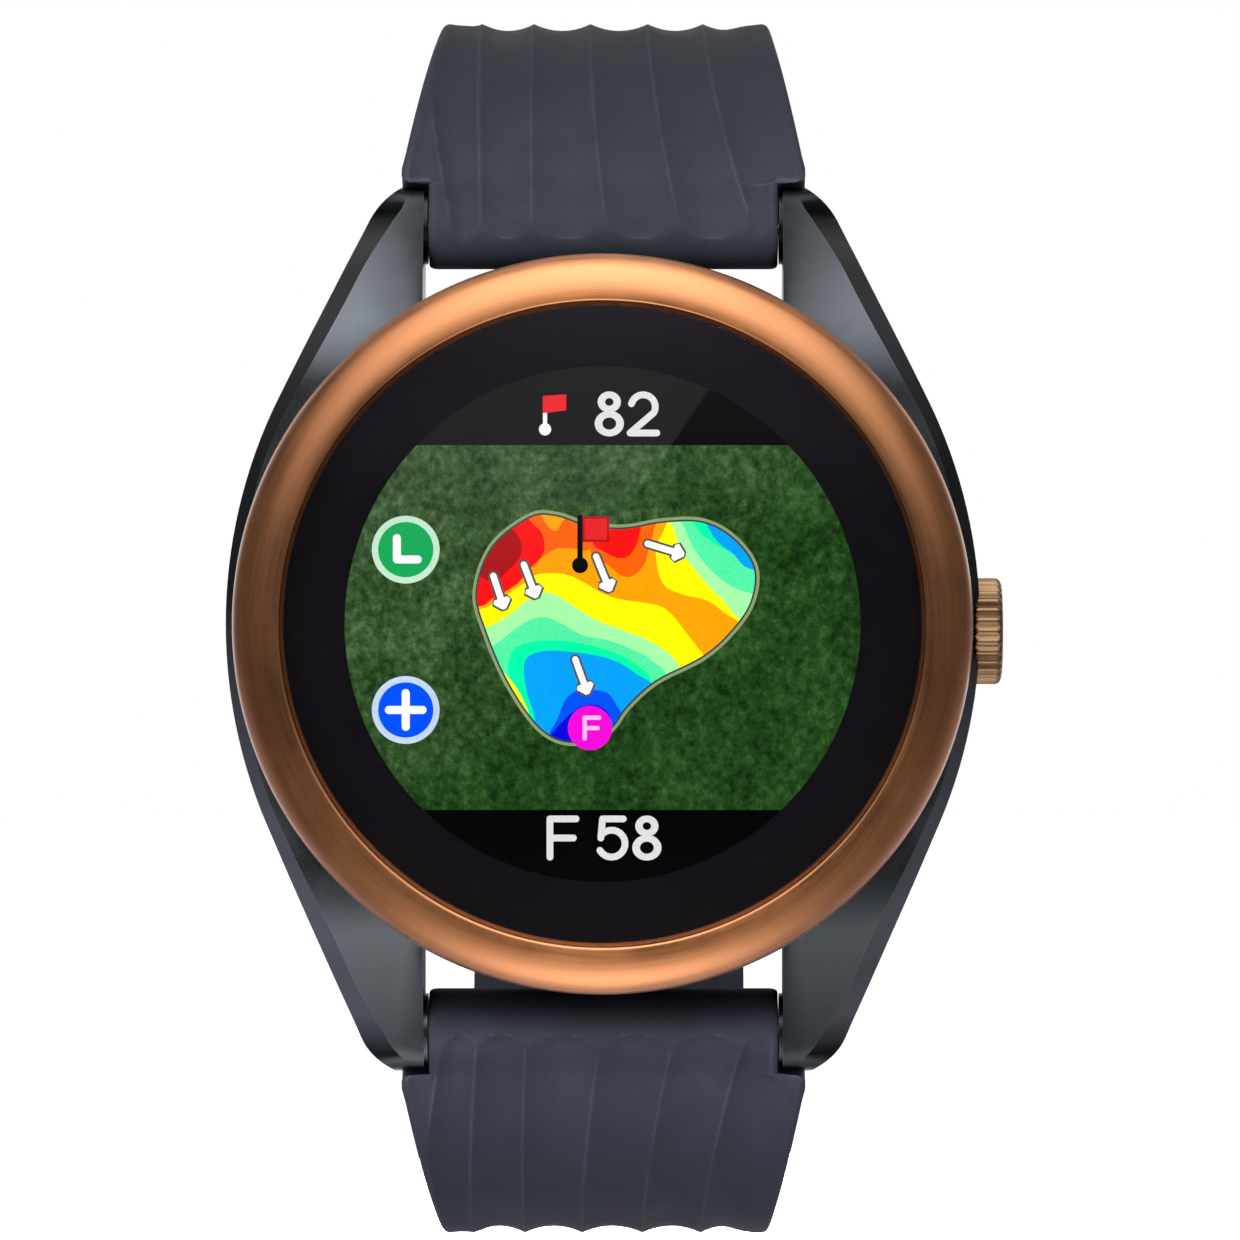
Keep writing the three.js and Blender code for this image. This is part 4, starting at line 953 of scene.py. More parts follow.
def screen_materials():
    """Lit colours. A faint pixel grid and noise keep them from being perfectly flat."""
    pixel = 0.083
    for name, colour in SCREEN.items():
        material = bpy.data.materials.new("screen_" + name)
        material.use_nodes = True
        n = Nodes(material.node_tree)
        place = n.position()
        if colour:
            lit = srgb(*colour)
        else:
            soft = n.noise(place, 260.0, 5.0, 0.6)
            blades = n.noise(n.stretched(1.0, 1.0, 0.9), 1700.0, 8.0, 0.72)
            tone = n.math("ADD", n.math("MULTIPLY", soft, 0.3), n.math("MULTIPLY", blades, 0.7))
            grass = n.ramp(tone, [(0.40, srgb(28, 52, 22)), (0.47, srgb(46, 76, 38)),
                                  (0.53, srgb(60, 90, 50)), (0.62, srgb(90, 116, 76))])
            x, _, z = n.add("SeparateXYZ", {"Vector": place}).outputs
            slant = n.math("SUBTRACT", x, n.math("MULTIPLY", z, 1.3))
            wander = n.math("MULTIPLY", n.noise(place, 110.0, 2.0), 12 * MM)
            lush = n.span(n.math("ADD", slant, wander), -6 * MM, 12 * MM, 0.0, 1.0)
            lit = n.mix(lush, grass, n.mix(1.0, grass, srgb(172, 214, 166), "MULTIPLY"))
        grain = n.noise(place, 9000.0, 1.0)
        lit = n.mix(1.0, lit, n.ramp(grain, [(0.3, srgb(240, 240, 240)), (0.7, srgb(255, 255, 255))]),
                    "MULTIPLY")
        grid = n.add("TexBrick", {"Vector": n.add("Mapping", {
            "Vector": place, "Rotation": (math.pi / 2, 0, 0)}).outputs[0],
            "Color1": (1, 1, 1, 1), "Color2": (0.97, 0.97, 0.97, 1), "Mortar": (0.9, 0.9, 0.9, 1),
            "Scale": 1 / (pixel * MM), "Mortar Size": 0.06, "Brick Width": 1.0,
            "Row Height": 1.0}, offset=0.0)
        lit = n.mix(0.6, lit, grid.outputs["Color"], "MULTIPLY")
        lit = n.mix(1.0, lit, window_glare(n, place), "ADD")
        shader = n.add("BsdfPrincipled", {
            "Base Color": (0.0002, 0.0002, 0.0002, 1), "Roughness": 0.5, "Specular IOR Level": 0.0,
            "Emission Color": lit, "Emission Strength": 1.22,
        })
        n.add("OutputMaterial", {"Surface": shader.outputs[0]})
        MATERIALS["screen_" + name] = material


def glass_material():
    """Clear glass with a faint violet coating, smudged so that its gloss isn't perfect."""
    material = bpy.data.materials.new("cover_glass")
    material.use_nodes = True
    n = Nodes(material.node_tree)
    smear = n.noise(n.stretched(1.0, 1.0, 0.35), 220.0, 5.0)
    tint = n.ramp(smear, [(0.3, srgb(249, 249, 250)), (0.7, srgb(255, 255, 255))])
    clear = n.add("BsdfTransparent", {"Color": tint})
    gloss = n.add("BsdfGlossy", {
        "Color": srgb(232, 222, 240), "Roughness": n.span(smear, 0.3, 0.7, 0.02, 0.06)})
    inside = n.add("NewGeometry").outputs["Backfacing"]
    share = n.math("MULTIPLY", n.add("Fresnel", {"IOR": 1.42}).outputs[0],
                   n.math("SUBTRACT", 1.0, inside))
    mixed = n.add("MixShader", {0: share, 1: clear.outputs[0], 2: gloss.outputs[0]})
    n.add("OutputMaterial", {"Surface": mixed.outputs[0]})
    MATERIALS["cover_glass"] = material


# ---- Crown button -----------------------------------------------------------------------------

def crown_button():
    """Thirty fine ridges round the rim, fading into a rounded outer edge and a dished face."""
    inside, outside = 23.2, 25.05
    ridges, ridge_depth, steps = 30, 0.2, 8
    stations = [(inside, 0.30, 0.0), (inside + 0.10, 0.08, 0.6), (inside + 0.18, 0.0, 1.0)]
    stations += [(inside + 0.18 + 0.2 * i, 0.0, 1.0) for i in range(1, 7)]
    stations += [(outside - 0.36, 0.01, 1.0), (outside - 0.26, 0.05, 0.9),
                 (outside - 0.16, 0.13, 0.6), (outside - 0.08, 0.25, 0.3),
                 (outside - 0.02, 0.42, 0.1), (outside, 0.60, 0.0)]
    rings = []
    for x, shrink, share in stations:
        ring = []
        for i in range(ridges * steps):
            angle = 2 * math.pi * i / (ridges * steps)
            wave = abs(math.sin(ridges * angle / 2)) ** 1.4
            r = CROWN_RADIUS - shrink - ridge_depth * share * (1 - wave)
            ring.append(along_x(CROWN_HEIGHT, CROWN_Z)(r, x, angle))
        rings.append(ring)
    for r, x in ((2.2, outside - 0.03), (1.2, outside - 0.09), (0.3, outside - 0.11)):
        rings.append([along_x(CROWN_HEIGHT, CROWN_Z)(r, x, 2 * math.pi * i / (ridges * steps))
                      for i in range(ridges * steps)])
    made = tube("crown_button", rings, 40)
    socket = rod("socket", along_x(CROWN_HEIGHT, CROWN_Z), 0.96, inside - 1, 24.4, 32)
    combine(made, [socket], "DIFFERENCE", 40)
    paint(made, MATERIALS["crown_copper"])
    return bind(made, "crown", "crown_copper", "crown_knob")


# ---- Case back --------------------------------------------------------------------------------

def back_cover():
    groove = [(14.9, 0), (14.75, 0.12), (14.45, 0.12), (14.3, 0)]
    profile = [(0, 0)] + groove[::-1] + [(19.6, 0), (20.15, 0.02), (20.34, 0.1), (20.4, 0.28),
                                         (20.4, 0.75), (17.7, 0.75), (17.7, 0.38), (16.9, 0.38),
                                         (16.9, 0.75), (16.3, 0.75), (16.3, 1.6), (15.3, 1.6),
                                         (15.3, 0.75), (0, 0.75)]
    made = turned("back_cover", profile, on_watch_axis, 192)
    cutters = [block("window", (-5, -1, -12), (5, 2.5, -9))]
    for x, z in screw_places():
        well = [(0, -0.5), (1.25, -0.5), (1.25, 0.0), (1.06, 0.12), (1.06, 0.45), (0.62, 0.45),
                (0.62, 1.2), (0, 1.2)]
        cutters.append(turned("well", well, along_height(x, z), 48))
    combine(made, cutters, "DIFFERENCE")
    paint(made, MATERIALS["back_steel"])
    return bind(made, "case", "back_steel", "case_back")


def back_screws():
    for number, (x, z) in enumerate(screw_places(), 1):
        rim = arc(0.83, 0.18, 0.15, -90, 0, 4)
        profile = [(0, 0.03)] + rim + [(0.98, 0.4), (0.5, 0.4), (0.5, 2.4), (0.3, 2.6), (0, 2.6)]
        made = turned(f"back_screw_{number}", profile, along_height(x, z), 48)
        slot = block("slot", (x - 1.2, -0.2, z - 0.13), (x + 1.2, 0.2, z + 0.13))
        combine(made, [slot], "DIFFERENCE")
        paint(made, MATERIALS["screw_steel"])
        bind(made, "case", "screw_steel", f"case_back_screw_{number}")


def charge_contacts():
    for number in range(1, 5):
        node = f"charge_contact_{number}"
        low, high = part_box(node)
        x, z = (low.x + high.x) / 2 / MM, (low.z + high.z) / 2 / MM
        dome = arc(0.45, 0.32, 0.3, -90, 0, 5)
        profile = [(0, 0.02)] + dome + [(0.75, 1.8), (0, 1.8)]
        made = turned("contact_pad_" + str(number), profile, along_height(x, z), 40)
        paint(made, MATERIALS["gold_plate"])
        bind(made, "case", "gold_plate", node)


# ---- Strap ------------------------------------------------------------------------------------

START_ANGLE = math.radians(25)
LOOP_RADIUS = 22.7
QUARTER = math.radians(65) * LOOP_RADIUS
ROOT_HALF = 11.0
SHOULDER_HALF = 12.75
LOOP_HALF = 10.65
NOTCH_RADIUS = 2.95
FLUTE_DEPTH = 0.44
UPPER_FLUTES_FROM = -1.8
LOWER_FLUTES_FROM = -1.0
FLUTE_END = 46.0
FINE_FROM = 3.0  # between these distances the strap is sampled closely for its flutes
FINE_TO = 45.8
FINE_STEP = 0.4
FAR_FROM = 46.2
BUCKLE_END_HALF = 10.0
TAIL_HALF = 9.3
TAIL_TIP = 9.0
HOLE_COUNT = 8
HOLE_PITCH = 6.5
HOLE_FROM_TIP = 16
SMOOTH = 38  # degrees: a strap's surface creases only where faces meet at more than this
FIXED_KEEPER_BACK = 9.2  # from the buckle bar
FREE_KEEPER_BACK = 19.0


class Line:
    """A strap half's centreline seen from the side: arcs and straights, each (length, radius)."""

    def __init__(self, bar_z, runs):
        self.pieces = []
        out, y, angle, start = bar_z, -BAR_HEIGHT, START_ANGLE, 0.0
        for length, radius in runs:
            self.pieces.append((start, radius, out, y, angle))
            out, y, angle = self.walk(radius, out, y, angle, length)
            start += length
        self.length = start

    @staticmethod
    def walk(radius, out, y, angle, distance):
        if not radius:
            return out + distance * math.cos(angle), y + distance * math.sin(angle), angle
        end = angle + distance / radius
        return (out + radius * (math.sin(end) - math.sin(angle)),
                y + radius * (math.cos(angle) - math.cos(end)), end)

    def at(self, s):
        """(out, y, angle) at a distance from the spring bar; straight on beyond both ends."""
        start, radius, out, y, angle = max((p for p in self.pieces if p[0] <= s),
                                           default=self.pieces[0], key=lambda p: p[0])
        if s < 0:
            return self.walk(0, out, y, angle, s)
        if s > self.length:
            out, y, angle = self.walk(radius, out, y, angle, self.length - start)
            return self.walk(0, out, y, angle, s - self.length)
        return self.walk(radius, out, y, angle, s - start)

    def spot(self, x, s, lift, side):
        """The point at x across, s along and lift towards the outer face; side is the sign of z."""
        out, y, angle = self.at(s)
        return Vector((x, y - lift * math.cos(angle),
                       side * (out + lift * math.sin(angle)))) * MM


UPPER_LINE = Line(BAR_UPPER, [(QUARTER, LOOP_RADIUS), (6.3, 60), (42.0, 0)])
LOWER_LINE = Line(BAR_LOWER, [(QUARTER, LOOP_RADIUS), (math.radians(90) * 31, 31), (29.5, 70)])

# Flute crests as (x at the lugs, x at the turn of the strap); both halves lean the same way.
UPPER_CRESTS = [(-9.7, -11.6), (-7.7, -8.1), (-4.5, -4.7), (0.05, -1.0), (4.6, 2.75),
                (9.05, 6.35), (12.9, 10.2)]
LOWER_CRESTS = [(-10.2, -11.8), (-8.0, -8.7), (-4.9, -5.3), (-0.25, -1.55), (4.3, 2.4),
                (8.7, 6.2), (12.7, 9.7)]


def strap_half_thickness(s):
    if s < 0:
        return math.sqrt(max(0.0, LUG_TIP_RADIUS ** 2 - s * s))
    strip = lerp(2.2, 1.3, smooth_step(s, 2, 20))
    return lerp(2.6, strip, smooth_step(s, 0, 2.4))


def strap_half_width(line, s, end_half):
    rounding = 0.6
    if s < rounding - LUG_TIP_RADIUS:
        inside = s - (rounding - LUG_TIP_RADIUS)
        return ROOT_HALF - rounding + math.sqrt(max(0.0, rounding ** 2 - inside ** 2))
    if s <= 1.965:
        return ROOT_HALF
    start = line.at(NOTCH_RADIUS)[0]
    if s <= QUARTER:
        share = max(0.0, (line.at(s)[0] - start) / (line.at(QUARTER)[0] - start))
        full = lerp(SHOULDER_HALF, LOOP_HALF, share)
    else:
        full = lerp(LOOP_HALF, end_half, min(1.0, (s - QUARTER) / 14))
    corner = 0.35
    inside = max(0.0, corner - (s - 1.97))
    return full - corner + math.sqrt(max(0.0, corner ** 2 - inside ** 2))


def notch_shift(s, lift):
    """The shoulder is cut round to clear the lug: side points are drawn along by the cut's curve."""
    step = 1.965
    full = math.sqrt(max(0.0, NOTCH_RADIUS ** 2 - lift * lift)) - step
    if s <= 0:
        return 0.0
    if s <= step:
        return full * (s / step) ** 2
    return full * (1 - smooth_step(s, step, step + 2.6))


def strap_flank(half, thick, edge):
    """(x, lift) down the right side of a cross-section: rounded edge, wall, rounded edge."""
    outer = [(half - edge + edge * math.sin(a), thick - edge + edge * math.cos(a))
             for a in [math.radians(d) for d in (0, 22, 45, 68, 90)]]
    outer += [(half, (thick - edge) * share) for share in (0.5, 0.0)]
    return outer + [(x, -lift) for x, lift in outer[::-1][1:]]


def strap_loop(line, s, side, crests, end_half, flutes_from):
    """One cross-section: the fluted outer face, rounded edges, side walls and plain inner face."""
    half = strap_half_width(line, s, end_half)
    thick = strap_half_thickness(s)
    edge = min(0.45, 0.8 * thick)
    flat = half - edge
    out0, outq = line.at(0)[0], line.at(QUARTER)[0]
    if s <= QUARTER:
        share = min(1.0, max(0.0, (line.at(s)[0] - out0) / (outq - out0)))
    else:
        share = 1.0
    lean = 1 - (1 - share) ** 1.6
    lines = [max(-flat, min(flat, lerp(a, b, lean))) for a, b in crests]
    bounds = [-flat] + lines + [flat]
    cells = 12
    loop = []
    for left, right in zip(bounds, bounds[1:]):
        depth = FLUTE_DEPTH * smooth_step(right - left, 0.3, 3.0)
        for i in range(cells):
            t = i / cells
            x = lerp(left, right, t)
            arch = flutes_from + 0.9 * (2 * t - 1) ** 2
            run_in = smooth_step(s, arch, arch + 0.6)
            fade = 1 - smooth_step(s, 34, FLUTE_END)
            near_side = smooth_step(half - abs(x), 1.2, 3.4)
            land = lerp(1.0, 0.3 + 0.7 * near_side, smooth_step(s, 8, 22))
            bowl = 4 * t * (1 - t)
            loop.append(line.spot(x, s, thick - depth * bowl * run_in * fade * land, side))
    flank = strap_flank(half, thick, edge)
    for x, lift in flank:
        loop.append(line.spot(x, s + notch_shift(s, lift), lift, side))
    inner_cells = 14
    for i in range(1, inner_cells):
        loop.append(line.spot(lerp(flat, -flat, i / inner_cells), s, -thick, side))
    for x, lift in flank[:-1]:
        loop.append(line.spot(-x, s + notch_shift(s, -lift), -lift, side))
    return loop


def root_stations():
    roll = [-LUG_TIP_RADIUS * math.cos(math.radians(a)) for a in (3, 8, 14, 20, 26, 33, 40, 48,
                                                                 56, 64, 72, 81)]
    near = [0.0, 0.2, 0.4, 0.6, 0.8, 1.0, 1.2, 1.4, 1.6, 1.8, 1.96]
    shoulder = [1.97, 2.0, 2.05, 2.12, 2.2, 2.32, 2.5, 2.75]
    return roll + near + shoulder


def strap_body(name, line, side, crests, end_half, flutes_from, far_stations, narrowing=None):
    stations = root_stations() + evenly(FINE_FROM, FINE_TO, FINE_STEP) + far_stations
    loops = []
    for s in stations:
        loop = strap_loop(line, s, side, crests, end_half, flutes_from)
        if narrowing:
            loop = [Vector((p.x * narrowing(s), p.y, p.z)) for p in loop]
        loops.append(loop)
    return tube(name, loops, SMOOTH)


def evenly(start, end, step):
    count = max(1, round((end - start) / step))
    return [lerp(start, end, i / count) for i in range(count + 1)]


def bar_bore(z, radius=1.0):
    return rod("bore", along_x(BAR_HEIGHT, z), radius, -14, 14, 40)


def upper_strap():
    length = UPPER_LINE.length
    made = strap_body("strap_12", UPPER_LINE, 1, UPPER_CRESTS, BUCKLE_END_HALF,
                      UPPER_FLUTES_FROM, evenly(FAR_FROM, length, 1.0))
    out, y, angle = UPPER_LINE.at(length)
    height = -y
    eye = [(0, -10.0), (1.4, -10.0), (1.62, -9.9), (1.7, -9.7)]
    eye += [(r, -x) for r, x in reversed(eye)]
    roll = turned("end_roll", eye, along_x(height, out), 64)
    combine(made, [roll], "UNION", SMOOTH)
    slot = block("slot", (-1.6, -5, -3.8), (1.6, 5, 4.2))
    slot.data.transform(Matrix.Rotation(-angle, 4, "X"))
    slot.data.transform(Matrix.Translation(Vector((0, y, out)) * MM))
    bar = rod("bar_hole", along_x(height, out), 0.95, -14, 14, 40)
    combine(made, [bar_bore(BAR_UPPER), bar, slot], "DIFFERENCE", SMOOTH)
    paint(made, MATERIALS["strap_rubber"])
    return bind(made, "upper_strap", "strap_rubber", "strap_upper")


def lower_strap():
    length = LOWER_LINE.length

    def narrowing(s):
        share = max(0.0, (s - (length - TAIL_TIP)) / TAIL_TIP)
        return math.sqrt(max(0.0, 1 - min(0.985, share ** 2.2)))

    far = evenly(FAR_FROM, length - TAIL_TIP, 0.9)
    far += [length - TAIL_TIP * math.cos(math.radians(a)) for a in range(4, 90, 5)]
    made = strap_body("strap_6", LOWER_LINE, -1, LOWER_CRESTS, TAIL_HALF, LOWER_FLUTES_FROM, far,
                      narrowing)
    cutters = [bar_bore(-BAR_LOWER)]
    for i in range(HOLE_COUNT):
        s = length - HOLE_FROM_TIP - i * HOLE_PITCH
        flare = [(0, -3.0), (1.6, -3.0), (1.6, -1.28), (1.42, -1.2), (1.15, -0.95), (1.15, 0.95),
                 (1.42, 1.2), (1.6, 1.28), (1.6, 3.0), (0, 3.0)]

        def place(radius, along, turn, s=s):
            x = radius * math.cos(turn)
            t = radius * math.sin(turn)
            o, yy, a = LOWER_LINE.at(s)
            return Vector((x, yy - along * math.cos(a) + t * math.sin(a),
                           -(o + along * math.sin(a) + t * math.cos(a)))) * MM

        cutters.append(turned("hole", flare, place, 40))
    combine(made, cutters, "DIFFERENCE", SMOOTH)
    paint(made, MATERIALS["strap_rubber"])
    return bind(made, "lower_strap", "strap_rubber", "strap_lower")


# ---- Keepers and buckle, laid out along the upper strap ---------------------------------------

def station(s):
    """Places local (x, outwards, along) millimetres at a distance s along the upper strap."""
    out, y, angle = UPPER_LINE.at(s)

    def place(x, lift, t):
        return Vector((x, y - lift * math.cos(angle) + t * math.sin(angle),
                       out + lift * math.sin(angle) + t * math.cos(angle))) * MM

    return place


def rounded_rectangle_path(x0, x1, l0, l1, radius, steps=6):
    path = []
    for cx, cl, start in ((x1 - radius, l0 + radius, -90), (x1 - radius, l1 - radius, 0),
                          (x0 + radius, l1 - radius, 90), (x0 + radius, l0 + radius, 180)):
        path += arc(cx, cl, radius, start, start + 90, steps)
    return path


def keeper(name, s, body, node):
    """A moulded loop with rounded edges and a shallow rib round its middle."""
    inner_half, wall, under, over, length = 10.3, 1.15, 1.36, 4.1, 4.8
    place = station(s)
    outer = rounded_rectangle_path(-inner_half - wall, inner_half + wall,
                                   -under - wall, over + wall, 1.6)
    inner = rounded_rectangle_path(-inner_half, inner_half, -under, over, 0.5)
    half = length / 2
    edge = 0.35
    rows = [(0.45, -half), (0.16, -half + 0.1), (0.0, -half + edge), (0.0, -0.7), (-0.10, -0.45),
            (-0.10, 0.45), (0.0, 0.7), (0.0, half - edge), (0.16, half - 0.1), (0.45, half)]
    loops = []
    centre_lift = (over - under) / 2
    for shrink, t in rows:
        loop = []
        for (x, lift), (ix, il) in zip(outer, inner):
            toward = Vector((ix - x, il - lift)).normalized() * shrink
            loop.append(place(x + toward.x, lift + toward.y, t))
        loops.append(loop)
    for shrink, t in [(0.2, half), (0.0, half - 0.2), (0.0, -half + 0.2), (0.2, -half)]:
        loop = []
        for (x, lift), (ix, il) in zip(outer, inner):
            toward = Vector((x - ix, lift - il)).normalized() * shrink
            loop.append(place(ix + toward.x, il + toward.y, t))
        loops.append(loop)
    columns = len(outer)
    points = [p for loop in loops for p in loop]
    faces = grid_faces(len(loops), columns)
    last = (len(loops) - 1) * columns
    faces += [(last + c, last + (c + 1) % columns, (c + 1) % columns, c) for c in range(columns)]
    made = mesh_object(name, points, faces, 40)
    paint(made, MATERIALS["keeper_rubber"])
    return bind(made, body, "keeper_rubber", node)


def section(half_wide, half_thick, power=3.2, steps=28):
    """A softly squared cross-section."""
    spots = []
    for i in range(steps):
        a = 2 * math.pi * i / steps
        c, s = math.cos(a), math.sin(a)
        spots.append((half_wide * math.copysign(abs(c) ** (2 / power), c),
                      half_thick * math.copysign(abs(s) ** (2 / power), s)))
    return spots


def buckle():
    """A U-shaped frame of softly squared rod, its two eyes on the buckle bar."""
    rail, front, corner = 11.8, 13.8, 2.4
    start = -1.55
    path = [(rail, t) for t in evenly(start, front - corner, 0.8)]
    path += arc(rail - corner, front - corner, corner, 0, 90, 10)[1:]
    path += [(x, front) for x in evenly(rail - corner, -(rail - corner), 1.2)[1:-1]]
    path += [(-x, t) for x, t in arc(rail - corner, front - corner, corner, 90, 0, 10)]
    path += [(-rail, t) for t in reversed(evenly(start, front - corner, 0.8)[:-1])]
    place = station(UPPER_LINE.length)
    loops = []
    count = len(path)
    for i, (x, t) in enumerate(path):
        before, after = Vector(path[max(0, i - 1)]), Vector(path[min(count - 1, i + 1)])
        along = (after - before).normalized()
        across = Vector((along.y, -along.x))
        from_end = min(i, count - 1 - i)
        swell = (0.55, 0.85)[from_end] if from_end < 2 else 1.0
        loop = []
        for wide, lift in section(1.2 * swell, 1.1 * swell):
            loop.append(place(x + across.x * wide, lift, t + across.y * wide))
        loops.append(loop)
    made = tube("buckle_loop", loops, 45)
    out, y, _ = UPPER_LINE.at(UPPER_LINE.length)
    eyes = rod("eyes", along_x(-y, out), 0.82, -14, 14, 40)
    combine(made, [eyes], "DIFFERENCE", 45)
    paint(made, MATERIALS["buckle_steel"])
    return bind(made, "buckle", "buckle_steel", "buckle_frame")


def tongue():
    """A tapered finger that rests on the frame, with an eye round the buckle bar."""
    place = station(UPPER_LINE.length)
    side = [(0.9, 0.15, 1.55), (2.5, 0.35, 1.75), (5.0, 0.62, 2.02), (8.0, 0.93, 2.28),
            (11.0, 1.22, 2.55), (12.2, 1.27, 2.6), (13.2, 1.27, 2.55), (14.0, 1.3, 2.35),
            (14.45, 1.42, 2.1), (14.6, 1.6, 1.9)]
    loops = []
    for t, low, high in side:
        taper = lerp(1.1, 0.85, smooth_step(t, 2, 14)) * (1 - 0.4 * smooth_step(t, 13.6, 14.8))
        middle, half = (low + high) / 2, (high - low) / 2
        loops.append([place(x, middle + lift, t) for x, lift in section(taper, half, 3.0, 24)])
    made = tube("buckle_pin", loops, 45)
    out, y, _ = UPPER_LINE.at(UPPER_LINE.length)
    ring = [(1.0, -1.05), (1.2, -1.25), (1.5, -1.22), (1.62, -1.05), (1.62, 1.05), (1.5, 1.22),
            (1.2, 1.25), (1.0, 1.05)]
    eye = turned("eye", ring, along_x(-y, out), 48)
    combine(made, [eye], "UNION", 45)
    hole = rod("eye_hole", along_x(-y, out), 0.98, -2, 2, 48)
    combine(made, [hole], "DIFFERENCE", 45)
    paint(made, MATERIALS["buckle_steel"])
    return bind(made, "tongue", "buckle_steel", "buckle_tongue")


# ---- Materials --------------------------------------------------------------------------------

def make_materials():
    # Painted shade on the case comes from lug_shade; its edge colour is partly wear and partly a painted
    # highlight along the creases.
    surface("case_metal", (94, 99, 104), (107, 112, 118), 0.31, metallic=1.0, patch=260,
            grain=9000, depth=0.0006, edge_sheen_and_wear=(128, 132, 136), shade_with=lug_shade)
    surface("ring_copper", (196, 124, 72), (212, 138, 84), 0.30, metallic=1.0, patch=180,
            grain=5200, depth=0.0008, marks="rings", edge_sheen_and_wear=(224, 160, 108), stretch_gloss=0.75,
            **{"Coat Weight": 1.0, "Coat IOR": 1.46, "Coat Roughness": 0.27})
    surface("crown_copper", (128, 100, 72), (150, 120, 92), 0.38, metallic=1.0, patch=600,
            grain=7000, depth=0.003, edge_sheen_and_wear=(214, 172, 124), sheen_and_wear_radius=0.08)
    surface("mask_ink", (8, 6, 10), (12, 10, 14), 0.6, patch=420, grain=2000, depth=0.0001,
            **{"Specular IOR Level": 0.05})
    # The strap's edge colour is partly wear and partly a painted highlight along its ridges; strap_shade
    # paints its shade.
    surface("strap_rubber", (59, 62, 70), (67, 70, 79), 0.66, patch=240, grain=5200, depth=0.01,
            edge_sheen_and_wear=(92, 95, 107), sheen_and_wear_radius=0.4, shade_with=strap_shade,
            **{"Specular IOR Level": 0.08})
    surface("keeper_rubber", (44, 47, 54), (60, 64, 72), 0.6, patch=300, grain=5200, depth=0.014,
            edge_sheen_and_wear=(88, 92, 102), sheen_and_wear_radius=0.3)
    surface("seal_rubber", (16, 16, 17), (26, 26, 28), 0.75, patch=800, depth=0.01)
    surface("back_steel", (150, 152, 156), (182, 184, 188), 0.30, metallic=1.0, patch=160,
            grain=4200, depth=0.001, marks="rings", edge_sheen_and_wear=(214, 216, 220))
    surface("screw_steel", (140, 142, 146), (186, 188, 192), 0.28, metallic=1.0, patch=900,
            depth=0.004, marks=(1.0, 1.0, 0.12), edge_sheen_and_wear=(220, 222, 226))
    surface("buckle_steel", (136, 139, 145), (168, 171, 178), 0.32, metallic=1.0, patch=220,
            grain=4800, depth=0.005, marks=(0.08, 1.0, 1.0), edge_sheen_and_wear=(214, 217, 224))
    surface("steel", (150, 152, 156), (190, 192, 196), 0.25, metallic=1.0, patch=700,
            depth=0.004, marks=(0.1, 1.0, 1.0))
    surface("gold_plate", (196, 156, 74), (226, 190, 104), 0.24, metallic=1.0, patch=900,
            depth=0.003, edge_sheen_and_wear=(240, 214, 150), sheen_and_wear_radius=0.06)
    surface("frame_plastic", (26, 27, 30), (40, 41, 45), 0.6, patch=300, grain=6000, depth=0.012)
    surface("chip", (15, 16, 18), (30, 31, 34), 0.5, patch=500, grain=9000, depth=0.006)
    surface("ceramic", (200, 190, 166), (226, 218, 198), 0.62, patch=900, grain=7000, depth=0.008)
    surface("battery_foil", (136, 142, 150), (176, 181, 188), 0.34, metallic=0.75, patch=260,
            grain=1500, depth=0.03)
    surface("flex_film", (150, 84, 22), (190, 116, 40), 0.36, patch=500, grain=1200, depth=0.005,
            marks=(1.0, 0.1, 0.1))
    surface("clear_film", (176, 184, 190), (208, 214, 218), 0.22, patch=200, depth=0.002)
    surface("panel_glass", (12, 13, 16), (22, 24, 28), 0.2, patch=260, depth=0.001)
    board_material()
    screen_materials()
    glass_material()


def board_material():
    """Green solder mask with raised copper tracks under it."""
    material = bpy.data.materials.new("board")
    material.use_nodes = True
    n = Nodes(material.node_tree)
    place = n.position()
    tracks = n.add("TexVoronoi", {"Vector": n.stretched(1.0, 0.0, 1.0), "Scale": 900.0},
                   feature="DISTANCE_TO_EDGE", distance="EUCLIDEAN").outputs["Distance"]
    line = n.span(tracks, 0.03, 0.07, 1.0, 0.0)
    cloud = n.noise(place, 300.0)
    mask = n.ramp(cloud, [(0.35, srgb(14, 70, 42)), (0.65, srgb(20, 92, 54))])
    colour = n.mix(line, mask, srgb(44, 128, 72))
    bump = n.add("Bump", {"Height": line, "Strength": 0.6, "Distance": 0.03 * MM})
    shader = n.add("BsdfPrincipled", {"Base Color": colour, "Roughness": n.span(
        cloud, 0.3, 0.7, 0.3, 0.45), "Normal": bump.outputs[0]})
    n.add("OutputMaterial", {"Surface": shader.outputs[0]})
    MATERIALS["board"] = material


CAD_FINISHES = {
    "steel": ["upper_bar_tube", "upper_bar_spring", "upper_bar_pin_left", "upper_bar_pin_right",
              "lower_bar_tube", "lower_bar_spring", "lower_bar_pin_left", "lower_bar_pin_right",
              "crown_stem", "crown_tube", "stem_clip", "motor_can", "motor_rotor", "shield_can",
              "buckle_bar"],
    "seal_rubber": ["glass_gasket", "case_back_gasket", "crown_seal"],
    "panel_glass": ["display_panel"],
    "clear_film": ["backlight_unit"],
    "flex_film": ["display_flex_cable"],
    "frame_plastic": ["inner_frame", "contact_block", "switch_body", "buzzer"],
    "board": ["main_board"],
    "chip": ["processor_chip", "memory_chip", "gps_receiver"],
    "ceramic": ["gps_antenna"],
    "battery_foil": ["battery"],
    "gold_plate": ["switch_plunger"],
}


def finish_cad_nodes():
    for material, nodes in CAD_FINISHES.items():
        for node in nodes:
            paint(frame["nodes"][node], MATERIALS[material])


# ---- Stage ------------------------------------------------------------------------------------

